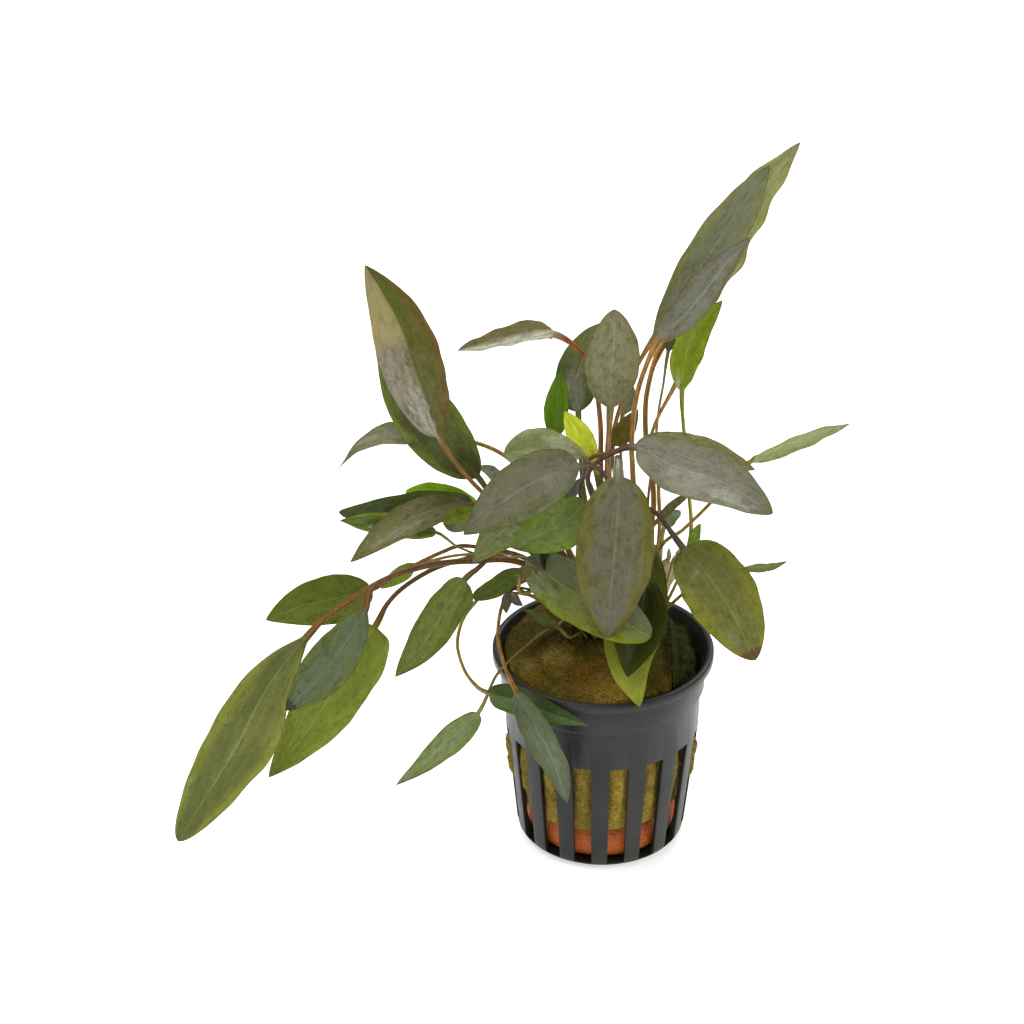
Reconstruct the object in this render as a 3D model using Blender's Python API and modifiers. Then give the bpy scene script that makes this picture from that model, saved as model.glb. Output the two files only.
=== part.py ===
"""A cryptocoryne, an aquarium plant, growing in a net pot.

The pot is one moulded piece of dark plastic with tall slots in its wall.  A plug of rockwool
with a mossy fold beside it fills the pot, over a pellet of fired clay.  Every leaf is one
piece, blade and petiole, and rises from the crown in the middle of the plug.

The origin is the centre of the pot's underside, +Z is up, and the front is towards -Y.
"""

import math
import bmesh
import bpy
from mathutils import Matrix, Vector

MM = 0.001

# The pot, in millimetres
POT_HEIGHT = 53.2
LIP_RADIUS = 27.5
LIP_INNER_RADIUS = 25.9
LIP_DEPTH = 2.5
WALL = 1.1
COLLAR_TOP_RADIUS = 25.8
RIDGE_HEIGHT = 43.2
RIDGE_RADIUS = 24.9
RIDGE_STEP = 0.5
RIDGE_PROUD = 0.5
SLOT_TOP = 32.2
SLOT_TOP_RADIUS = 24.2
WALL_FOOT = 3.4
WALL_FOOT_RADIUS = 21.3
BASE_FLAT_RADIUS = 17.9
FLOOR = 1.4
POT_STEPS = 32

SLOTS = 16
SLOT_TURN = -2.2
SLOT_BOTTOM = 1.8
SLOT_WIDTH_TOP = 4.8
SLOT_WIDTH_BOTTOM = 4.4
SLOT_CUT_INNER = 17.2
SLOT_CUT_OUTER = 30.0
DRAIN_HOLES = 6
DRAIN_RADIUS = 1.8
DRAIN_CIRCLE = 11.0

# What fills the pot
GAP = 0.4
CLAY_BOTTOM = FLOOR + 0.3
CLAY_TOP = 10.3
CLAY_RADIUS = 19.0
CLAY_ROUND = 1.8
PLUG_BOTTOM = CLAY_TOP + 0.8
PLUG_RISE = 1.3
PLUG_SLOPE = 0.095
PLUG_EDGE_DROP = 1.4
PLUG_SHIFT = -1.0
PLUG_STEPS = 32
FOLD_LEFT = 16.9
FOLD_BOTTOM = 36.0

# The leaves
VIEW_SIDE = Vector((0.0, -0.87, 0.5))
LEAF_SIDES = 8
PATH_STEPS = 16
PETIOLE_ROOT = 0.65
PETIOLE_NECK = 0.5
BLADE_HALF_THICKNESS = 0.3
TIP_RADIUS = 0.12
CROWN_LIFT = 0.9

# Colours, linear, as they look on the wet plant
GREY_MAUVE = (0.18, 0.165, 0.125)
BRONZE = (0.16, 0.14, 0.075)
GREY_GREEN = (0.145, 0.17, 0.10)
SAGE = (0.15, 0.21, 0.09)
OLIVE = (0.17, 0.19, 0.05)
DARK_GREEN = (0.07, 0.105, 0.03)
VIVID_GREEN = (0.08, 0.24, 0.02)
LIME = (0.42, 0.55, 0.03)
YELLOW_GREEN = (0.24, 0.28, 0.06)
POT_GREY = (0.065, 0.078, 0.084)
WOOL_MUSTARD = (0.20, 0.14, 0.04)
WOOL_MOSS = (0.045, 0.055, 0.015)
CLAY_RED = (0.42, 0.10, 0.035)

# The leaf materials: a colour and a material name
MAUVE = (GREY_MAUVE, "mauve_leaf")
BRONZED = (BRONZE, "bronze_leaf")
GREYISH = (GREY_GREEN, "grey_green_leaf")
SAGE_GREEN = (SAGE, "sage_leaf")
OLIVE_GREEN = (OLIVE, "olive_leaf")
DARK = (DARK_GREEN, "dark_leaf")
VIVID = (VIVID_GREEN, "vivid_leaf")
LIMEY = (LIME, "lime_leaf")
YELLOWISH = (YELLOW_GREEN, "yellow_leaf")


def clear_scene():
    for obj in list(bpy.data.objects):
        bpy.data.objects.remove(obj, do_unlink=True)


def make_collection(name):
    collection = bpy.data.collections.new(name)
    bpy.context.scene.collection.children.link(collection)
    return collection


def make_material(name, colour, roughness):
    material = bpy.data.materials.get(name)
    if material is None:
        material = bpy.data.materials.new(name)
        material.use_nodes = True
        shader = material.node_tree.nodes["Principled BSDF"]
        shader.inputs["Base Color"].default_value = (*colour, 1.0)
        shader.inputs["Roughness"].default_value = roughness
        shader.inputs["Metallic"].default_value = 0.0
    return material


def add_object(name, mesh, collection, material=None):
    obj = bpy.data.objects.new(name, mesh)
    collection.objects.link(obj)
    if material is not None:
        mesh.materials.append(material)
    return obj


def mesh_from(bm, name):
    mesh = bpy.data.meshes.new(name)
    bm.to_mesh(mesh)
    bm.free()
    return mesh


def shade_round(mesh, angle=35):
    mesh.shade_smooth()
    mesh.set_sharp_from_angle(angle=math.radians(angle))


def turned(name, profile, steps, collection, material):
    """Turn an open profile of (radius, height) in millimetres, top to bottom on its outside."""
    bm = bmesh.new()
    verts = [bm.verts.new((r * MM, 0.0, z * MM)) for r, z in profile]
    for above, below in zip(verts, verts[1:]):
        bm.edges.new((above, below))
    obj = add_object(name, mesh_from(bm, name), collection, material)
    screw = obj.modifiers.new("Turn", "SCREW")
    screw.steps = steps
    screw.render_steps = steps
    screw.use_merge_vertices = True
    screw.merge_threshold = 0.00001
    screw.use_smooth_shade = True
    return obj


def hide_cutter(obj):
    obj.hide_render = True
    obj.display_type = "WIRE"


def cut(obj, cutter, operation="DIFFERENCE"):
    boolean = obj.modifiers.new("Cut", "BOOLEAN")
    boolean.object = cutter
    boolean.operation = operation
    boolean.solver = "EXACT"


def arc(centre, radius, start, end, steps):
    """Points on an arc in the profile's plane, angles in degrees."""
    points = []
    for i in range(steps + 1):
        angle = math.radians(start + (end - start) * i / steps)
        points.append((centre[0] + radius * math.cos(angle), centre[1] + radius * math.sin(angle)))
    return points


def wall_radius(height):
    """The pot's outer radius at a height, below the lip."""
    stations = [
        (WALL_FOOT, WALL_FOOT_RADIUS),
        (SLOT_TOP, SLOT_TOP_RADIUS),
        (RIDGE_HEIGHT - RIDGE_STEP, RIDGE_RADIUS - RIDGE_STEP),
        (RIDGE_HEIGHT, RIDGE_RADIUS),
        (POT_HEIGHT, COLLAR_TOP_RADIUS),
    ]
    for (low, r_low), (high, r_high) in zip(stations, stations[1:]):
        if height <= high:
            return r_low + (r_high - r_low) * (height - low) / (high - low)
    return COLLAR_TOP_RADIUS


def slot_cutters(collection):
    """One tapered block for each slot, wider at the top."""
    bm = bmesh.new()
    for i in range(SLOTS):
        block = bmesh.ops.create_cube(bm, size=1.0)["verts"]
        for vert in block:
            at_top = vert.co.z > 0
            width = SLOT_WIDTH_TOP if at_top else SLOT_WIDTH_BOTTOM
            vert.co.x = (SLOT_CUT_OUTER if vert.co.x > 0 else SLOT_CUT_INNER) * MM
            vert.co.y *= width * MM
            vert.co.z = (SLOT_TOP if at_top else SLOT_BOTTOM) * MM
        turn = Matrix.Rotation(
            math.tau * (i + 0.5) / SLOTS - math.pi / 2 + math.radians(SLOT_TURN), 3, "Z")
        bmesh.ops.rotate(bm, verts=block, cent=(0, 0, 0), matrix=turn)
    cutter = add_object("slot_cutters", mesh_from(bm, "slot_cutters"), collection)
    hide_cutter(cutter)
    return cutter


def drain_cutters(collection):
    """Round holes through the floor, on one circle."""
    bm = bmesh.new()
    for i in range(DRAIN_HOLES):
        angle = math.tau * (i + 0.5) / DRAIN_HOLES
        place = Matrix.Translation((
            DRAIN_CIRCLE * MM * math.cos(angle), DRAIN_CIRCLE * MM * math.sin(angle), 0.0))
        bmesh.ops.create_cone(
            bm, cap_ends=True, segments=10, radius1=DRAIN_RADIUS * MM,
            radius2=DRAIN_RADIUS * MM, depth=4 * FLOOR * MM, matrix=place)
    cutter = add_object("drain_cutters", mesh_from(bm, "drain_cutters"), collection)
    hide_cutter(cutter)
    return cutter


def make_pot(parts, cutters):
    material = make_material("pot_plastic", POT_GREY, 0.45)
    foot_round = WALL_FOOT_RADIUS - BASE_FLAT_RADIUS
    lip_bottom = POT_HEIGHT - LIP_DEPTH
    profile = [
        (0.0, FLOOR),
        (BASE_FLAT_RADIUS, FLOOR),
        (WALL_FOOT_RADIUS - WALL - 0.6, FLOOR + 1.2),
        (WALL_FOOT_RADIUS - WALL, WALL_FOOT + 0.5),
        (SLOT_TOP_RADIUS - WALL, SLOT_TOP),
        (RIDGE_RADIUS - WALL, RIDGE_HEIGHT),
        (COLLAR_TOP_RADIUS - WALL, lip_bottom),
        (LIP_INNER_RADIUS, POT_HEIGHT - 0.3),
        (LIP_INNER_RADIUS + 0.4, POT_HEIGHT),
        (LIP_RADIUS - 0.4, POT_HEIGHT),
        (LIP_RADIUS, POT_HEIGHT - 0.5),
        (LIP_RADIUS, lip_bottom + 0.2),
        (COLLAR_TOP_RADIUS, lip_bottom),
        (RIDGE_RADIUS + RIDGE_PROUD, RIDGE_HEIGHT),
        (RIDGE_RADIUS - RIDGE_STEP, RIDGE_HEIGHT - RIDGE_STEP),
        (SLOT_TOP_RADIUS, SLOT_TOP),
        *arc((BASE_FLAT_RADIUS, WALL_FOOT), foot_round, 0, -60, 2),
        (BASE_FLAT_RADIUS, 0.0),
        (0.0, 0.0),
    ]
    pot = turned("pot", profile, POT_STEPS, parts, material)
    cut(pot, slot_cutters(cutters))
    cut(pot, drain_cutters(cutters))
    shade_round(pot.data)


def make_clay(parts):
    material = make_material("fired_clay", CLAY_RED, 0.75)
    middle = (CLAY_TOP + CLAY_BOTTOM) / 2
    reach = CLAY_RADIUS - CLAY_ROUND
    rise = (CLAY_TOP - CLAY_BOTTOM) / 2
    profile = [(0.0, CLAY_TOP)]
    for i in range(7):
        angle = math.radians(90 - 30 * i)
        profile.append((reach + CLAY_ROUND * math.cos(angle), middle + rise * math.sin(angle)))
    profile.append((0.0, CLAY_BOTTOM))
    clay = turned("clay_pellet", profile, 20, parts, material)
    shade_round(clay.data, 60)


def inside_radius(height):
    """The radius of the pot's inside at a height."""
    lip_bottom = POT_HEIGHT - LIP_DEPTH
    if height <= lip_bottom:
        return wall_radius(height) - WALL
    low = COLLAR_TOP_RADIUS - WALL
    share = (height - lip_bottom) / (POT_HEIGHT - 0.3 - lip_bottom)
    return low + (LIP_INNER_RADIUS - low) * min(1.0, share)


def wool_body(name, parts, material):
    """The whole filling of the pot, which the plug and its fold each take a part of.

    It is turned, pushed a little to the left, sloped at its upper end so that it stands higher
    at the back, and kept off the pot's wall.
    """
    lip_bottom = POT_HEIGHT - LIP_DEPTH
    profile = [
        (0.0, POT_HEIGHT + PLUG_RISE),
        (12.0, POT_HEIGHT + PLUG_RISE),
        (21.5, POT_HEIGHT + PLUG_RISE - 0.3),
        (LIP_INNER_RADIUS - GAP, POT_HEIGHT + PLUG_RISE - PLUG_EDGE_DROP),
        (COLLAR_TOP_RADIUS - WALL - GAP, lip_bottom),
        (wall_radius(RIDGE_HEIGHT) - WALL - GAP, RIDGE_HEIGHT),
        (wall_radius(SLOT_TOP) - WALL - GAP, SLOT_TOP),
        (wall_radius(PLUG_BOTTOM) - WALL - GAP, PLUG_BOTTOM + 1.0),
        (wall_radius(PLUG_BOTTOM) - WALL - GAP - 1.0, PLUG_BOTTOM),
        (0.0, PLUG_BOTTOM),
    ]
    body = turned(name, profile, PLUG_STEPS, parts, material)
    evaluated = body.evaluated_get(bpy.context.evaluated_depsgraph_get())
    body.data = bpy.data.meshes.new_from_object(evaluated)
    body.modifiers.clear()
    for vert in body.data.vertices:
        share = (vert.co.z / MM - lip_bottom) / LIP_DEPTH
        vert.co.z += PLUG_SLOPE * vert.co.y * max(0.0, min(1.0, share))
        vert.co.x += PLUG_SHIFT * MM
        radius = math.hypot(vert.co.x, vert.co.y)
        limit = (inside_radius(vert.co.z / MM) - GAP) * MM
        if radius > limit:
            vert.co.x *= limit / radius
            vert.co.y *= limit / radius
    return body


def block_cutter(name, low, high, cutters):
    bm = bmesh.new()
    bmesh.ops.create_cube(bm, size=1.0)
    low = Vector(low) * MM
    high = Vector(high) * MM
    for vert in bm.verts:
        vert.co = [high[i] if vert.co[i] > 0 else low[i] for i in range(3)]
    cutter = add_object(name, mesh_from(bm, name), cutters)
    hide_cutter(cutter)
    return cutter


def make_wool(parts, cutters):
    plug = wool_body("rockwool_plug", parts, make_material("rockwool", WOOL_MUSTARD, 0.95))
    fold = wool_body("rockwool_fold", parts, make_material("mossy_rockwool", WOOL_MOSS, 0.95))
    far = 40.0
    room = block_cutter(
        "fold_room", (FOLD_LEFT - GAP, -far, FOLD_BOTTOM - GAP), (far, far, 2 * far), cutters)
    kept = block_cutter("fold_kept", (FOLD_LEFT, -far, FOLD_BOTTOM), (far, far, 2 * far), cutters)
    cut(plug, room)
    cut(fold, kept, "INTERSECT")
    shade_round(plug.data, 40)
    shade_round(fold.data, 40)


def smooth_path(points):
    """A smooth curve through the points, as a list of close points with their lengths."""
    ends = [2 * points[0] - points[1], *points, 2 * points[-1] - points[-2]]
    path = [points[0].copy()]
    for before, here, there, after in zip(ends, ends[1:], ends[2:], ends[3:]):
        for i in range(1, PATH_STEPS + 1):
            t = i / PATH_STEPS
            path.append(0.5 * (
                2 * here + (there - before) * t
                + (2 * before - 5 * here + 4 * there - after) * t ** 2
                + (3 * here - before - 3 * there + after) * t ** 3))
    lengths = [0.0]
    for here, there in zip(path, path[1:]):
        lengths.append(lengths[-1] + (there - here).length)
    return path, lengths


def at_length(path, lengths, length):
    """The point and the direction of a path at a length along it."""
    i = 0
    while i < len(path) - 2 and lengths[i + 1] < length:
        i += 1
    step = path[i + 1] - path[i]
    share = (length - lengths[i]) / (lengths[i + 1] - lengths[i])
    return path[i] + step * share, step.normalized()


def root_point(root):
    """Where a petiole starts, just over the wool."""
    return Vector((root[0], root[1], POT_HEIGHT + PLUG_RISE + PLUG_SLOPE * root[1] + CROWN_LIFT))


def blade_shape(t, belly, heel, toe):
    """How wide the blade is, as a share of its full width, t of the way from neck to tip.

    A smaller heel rounds the end at the neck, and a smaller toe rounds the tip.
    """
    bend = math.log(0.5) / math.log(belly)
    return max(0.0, math.sin(math.pi * min(1.0, t) ** bend)) ** (heel if t < belly else toe)


def leaf(name, tone, root, petiole, blade, width,
         turn=0.0, twist=0.0, fold=14.0, belly=0.42, heel=0.8, toe=0.8, swells=(), face=None,
         thick=1.0, sides=LEAF_SIDES, petiole_bends=4, blade_rings=7):
    """One leaf: a round petiole that widens into a flat, slightly folded blade.

    Points are in millimetres, from the crown to the tip, with their heights above the pot's
    lip.  The blade's upper side faces the viewer, then turns about its midrib by turn degrees,
    and by twist more at its tip.  Each swell widens one hand's margin: which hand, how far along,
    over what share of the length, and by how much.
    """
    colour, finish = tone
    lip = Vector((0.0, 0.0, POT_HEIGHT))
    stem = [root_point(root)] + [lip + Vector(p) for p in petiole]
    points = stem + [lip + Vector(p) for p in blade]
    path, lengths = smooth_path(points)
    neck = lengths[PATH_STEPS * len(stem)]
    whole = lengths[-1]
    petiole_rings = max(2, min(petiole_bends, round(neck / 14)))
    rings = petiole_rings + blade_rings

    bm = bmesh.new()
    bmesh.ops.create_cone(
        bm, cap_ends=True, segments=sides, radius1=1.0, radius2=1.0, depth=1.0)
    uprights = [e for e in bm.edges if abs(e.verts[0].co.z - e.verts[1].co.z) > 0.5]
    bmesh.ops.subdivide_edges(bm, edges=uprights, cuts=rings - 1)

    for vert in bm.verts:
        ring = round((vert.co.z + 0.5) * rings)
        across = vert.co.x
        through = vert.co.y
        along = max(0.0, (ring - petiole_rings) / blade_rings)
        length = neck * min(1.0, ring / petiole_rings) + (whole - neck) * along
        centre, heading = at_length(path, lengths, length)
        upper = (face or VIEW_SIDE).copy()
        upper = (upper - heading * upper.dot(heading)).normalized()
        upper = Matrix.Rotation(math.radians(turn + twist * along), 3, heading) @ upper
        side = upper.cross(heading)
        toward_neck = min(1.0, length / neck)
        stem_radius = (PETIOLE_ROOT + (PETIOLE_NECK - PETIOLE_ROOT) * toward_neck) * thick
        if along > 0.0:
            half_width = max(TIP_RADIUS * 2, width / 2 * blade_shape(along, belly, heel, toe))
            half_width += sum(
                size * math.exp(-((along - middle) / spread) ** 2)
                for hand, middle, spread, size in swells if hand * across > 0)
            left_of_stem = (stem_radius - BLADE_HALF_THICKNESS) * (1 - along) ** 6
            half_thick = BLADE_HALF_THICKNESS + left_of_stem
            half_thick += (TIP_RADIUS - half_thick) * along ** 3
            lift = math.tan(math.radians(fold)) * half_width * abs(across)
        else:
            half_width = stem_radius
            half_thick = stem_radius
            lift = 0.0
        place = centre + side * (half_width * across) + upper * (half_thick * through + lift)
        vert.co = place * MM
    mesh = mesh_from(bm, name)
    add_object(name, mesh, PARTS, make_material(finish, colour, 0.35))
    shade_round(mesh, 60)


def upper_right_leaves():
    """The tall group that leans up and to the right."""
    leaf("leaf_tall_back", YELLOWISH, root=(9.4, 13.4),
         petiole=[(11, 16.5, 20), (12.5, 17.5, 31.5), (10, 19, 52), (11, 22, 62)],
         blade=[(14.5, 27.5, 70), (26, 34, 86.7), (35.5, 38, 102.3), (47, 42, 117)],
         width=12, thick=1.2, swells=[(-1, 0.35, 0.2, 1.0)], heel=0.55, turn=-25, belly=0.5)
    leaf("leaf_big_right", GREYISH, root=(3.8, 15.2),
         petiole=[(1.5, 17, 37.5), (2, 17, 48.5), (4, 17.5, 58.5), (7.5, 18, 68)],
         blade=[(12, 19, 76.5), (21, 22, 90.5), (31, 27, 105), (39, 33, 115)],
         width=11.5, heel=0.6, turn=10, belly=0.52)
    leaf("leaf_mauve_right", MAUVE, root=(8.2, 11),
         petiole=[(7, 10.5, 41), (6.5, 10.5, 52.5), (7.5, 11, 64), (9.5, 11.5, 72)],
         blade=[(13, 12.5, 79), (19.5, 13, 86), (26, 14, 95), (33.5, 16, 104)],
         width=8.5, thick=1.2, heel=0.45, turn=-20)
    leaf("leaf_bright_right", VIVID, root=(13.4, 12.6),
         petiole=[(21.5, 16, 20), (21, 18, 37), (19.5, 20, 50)],
         blade=[(19, 22, 60), (19.5, 23, 68), (22.5, 25, 75), (28.5, 27, 82)],
         width=8, thick=0.85, heel=0.75, turn=15, sides=6)
    leaf("leaf_behind_bright", OLIVE_GREEN, root=(12, 14.6), thick=0.85,
         petiole=[(14, 16, 20.5), (13.5, 19.5, 36), (11.5, 20, 45.5), (12.5, 22, 50),
                  (15, 25, 54.5)],
         blade=[(18, 27.5, 59.5), (19.5, 28.5, 63.5), (21, 29.5, 67.5), (22.5, 30.5, 71.5)],
         width=4, heel=0.6, turn=0, sides=6, petiole_bends=3, blade_rings=4)
    leaf("leaf_behind_mauve", OLIVE_GREEN, root=(9.8, 16.4), thick=0.6,
         petiole=[(11.5, 20, 33), (13, 23, 46), (14, 24, 57.5)],
         blade=[(15.5, 25, 69), (16, 25.2, 71), (16.5, 25.4, 73.5), (17, 25.6, 75.5)],
         width=2.5, turn=0, sides=6, petiole_bends=3, blade_rings=3)
    leaf("leaf_far_right", SAGE_GREEN, root=(12, 8.4), thick=0.8,
         petiole=[(13.5, 7, 23), (19.5, 9, 28), (25, 11, 33), (32.5, 14, 40.5)],
         blade=[(36.5, 17, 43), (45, 19, 46), (53, 22, 48), (61, 25, 49)],
         width=6, heel=0.5, turn=50, blade_rings=6, sides=6)
    leaf("leaf_narrow_right", OLIVE_GREEN, root=(14.2, 8.6), thick=0.7,
         petiole=[(20.5, 6, 12), (28.5, 11, 14.5)],
         blade=[(34.5, 14, 13.5), (38.5, 15, 13.5), (42.5, 16.5, 13), (46.5, 18, 13.5)],
         width=3, turn=40, sides=6, blade_rings=5)


def upper_middle_leaves():
    """The upright leaves behind the middle, and the small ones among their petioles."""
    leaf("leaf_upright", MAUVE, root=(5.6, 8.2),
         petiole=[(1, 7.5, 37), (0.5, 7, 52)],
         blade=[(1, 6, 64), (1, 5, 73), (1.5, 4, 82), (1.5, 4, 91)],
         width=13, thick=1.25, heel=0.5, toe=0.6, turn=0, belly=0.5)
    leaf("leaf_dark_behind", DARK, root=(1, 12.6),
         petiole=[(-4.5, 13, 34), (-6, 14, 50)],
         blade=[(-6.5, 15, 58), (-7, 16, 66), (-4, 18, 74), (0.5, 20, 80)],
         width=11, heel=0.55, turn=10, sides=6)
    leaf("leaf_reaching_left", GREYISH, root=(3, 12.8),
         petiole=[(-0.5, 15, 34), (-1, 14, 54), (-3, 12, 70), (-7.5, 11, 77.5)],
         blade=[(-13, 10, 81.5), (-19.5, 9, 81.5), (-27, 8, 80), (-35.5, 7, 78.5)],
         width=10, thick=1.15, toe=0.65, heel=0.55, turn=56, belly=0.32, sides=6)
    leaf("leaf_vivid_upright", VIVID, root=(2.2, 9.6), thick=0.9,
         petiole=[(-8.5, 9.5, 33), (-11, 9, 45)],
         blade=[(-12, 8.5, 54.5), (-12, 8.5, 61), (-11.5, 8.5, 67), (-11, 9, 72.5)],
         width=6, heel=0.6, turn=0, sides=6)
    leaf("leaf_lime", LIMEY, root=(3.6, 7.6), thick=0.9,
         petiole=[(-1.5, 6, 32), (-1.5, 6, 40)],
         blade=[(-2.5, 5.5, 47.5), (-4.5, 5, 53), (-7.5, 5, 58.5), (-10, 5.5, 63)],
         width=6, heel=0.6, turn=0, belly=0.55, sides=6)
    leaf("leaf_olive_small", OLIVE_GREEN, root=(5.2, 13.2), thick=0.8,
         petiole=[(3.5, 15.5, 33.4), (2.2, 15, 43.4)],
         blade=[(2, 13, 49.5), (4, 13, 52), (6, 13.5, 55.5), (8, 14, 59)],
         width=5, turn=0, sides=6, blade_rings=5)
    leaf("leaf_pale_small", GREYISH, root=(7, 15), thick=0.7,
         petiole=[(5, 19, 33), (4, 20.5, 46.5)],
         blade=[(4.5, 21, 53.5), (5.5, 21.5, 56), (6.5, 22, 58.5), (7, 22.5, 61)],
         width=3.5, turn=20, sides=6, blade_rings=5)


def upper_left_leaves():
    """The bronze leaf that stands up at the left, and those around it."""
    leaf("leaf_bronze", BRONZED, root=(0.6, 7.8),
         petiole=[(-16, -1, 31), (-28, -4, 44), (-35, -5, 53)],
         blade=[(-40, -5, 62), (-45, -3, 76), (-50, 1, 90), (-57, 5, 102)],
         width=14.6, heel=0.55, turn=0, fold=20, belly=0.47)
    leaf("leaf_dark_left", DARK, root=(-2, 11.7),
         petiole=[(-16, 8, 27), (-26, 6, 37)],
         blade=[(-31, 5.5, 45), (-40, 8, 54), (-48, 11, 64), (-55, 14, 75)],
         width=14, swells=[(-1, 0.45, 0.25, 1.0)], heel=0.7, turn=0)
    leaf("leaf_curled", GREYISH, root=(-1.6, 13.8), thick=1.0,
         petiole=[(-13, 12, 30), (-22, 10, 46), (-32, 10, 52)],
         blade=[(-43.5, 10, 53), (-52, 9, 54), (-59.5, 7.5, 52), (-65, 5, 47)],
         width=9, toe=1.5, heel=0.6, turn=52, belly=0.3, sides=6)


def left_leaves():
    """The shorter leaves that spread to the left, half way up."""
    leaf("leaf_left_dark", DARK, root=(-1.8, 9.6), thick=0.9,
         petiole=[(-17, 5, 27), (-26, 2.5, 36)],
         blade=[(-32.5, 0, 40.5), (-44, -3, 41.5), (-54, -7, 42.5), (-64, -10, 44)],
         width=10, toe=0.6, heel=0.55, turn=-30, blade_rings=6, sides=6)
    leaf("leaf_left_bright_edge", SAGE_GREEN, root=(-2.6, 7.6), thick=0.55,
         petiole=[(-16, 1, 23.5), (-28, -2, 26.5), (-35.5, -4, 30.5), (-38.5, -5.5, 34)],
         blade=[(-41, -6, 36), (-48, -9, 39), (-56, -12.5, 42), (-63.5, -16, 45)],
         width=7, heel=0.6, turn=30, blade_rings=6, sides=6)
    leaf("leaf_left_drooping", GREYISH, root=(0.6, 6),
         petiole=[(-16.5, -4, 31), (-26, -6, 42)],
         blade=[(-34, -8.5, 45), (-43, -12, 45), (-52, -16, 42), (-61, -20, 36)],
         width=8, heel=0.65, turn=10, sides=6)
    leaf("leaf_left_vivid", VIVID, root=(0.2, 9.7), thick=0.8,
         petiole=[(-15, 5.5, 29), (-24, 4, 36)],
         blade=[(-30, 3.5, 36.5), (-36, 3.5, 39.5), (-42, 3.5, 41.5), (-48.5, 3, 42)],
         width=6, toe=0.5, heel=0.6, turn=30, sides=6, blade_rings=6)
    leaf("leaf_left_small", VIVID, root=(1.2, 3.9), thick=0.7,
         petiole=[(-17, -6.5, 30), (-26, -11.5, 40.7)],
         blade=[(-31, -13.5, 45.5), (-34, -14.5, 45.5), (-36.5, -15.5, 45.5), (-39, -16.5, 44.5)],
         width=5, turn=20, sides=6, blade_rings=5)


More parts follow.
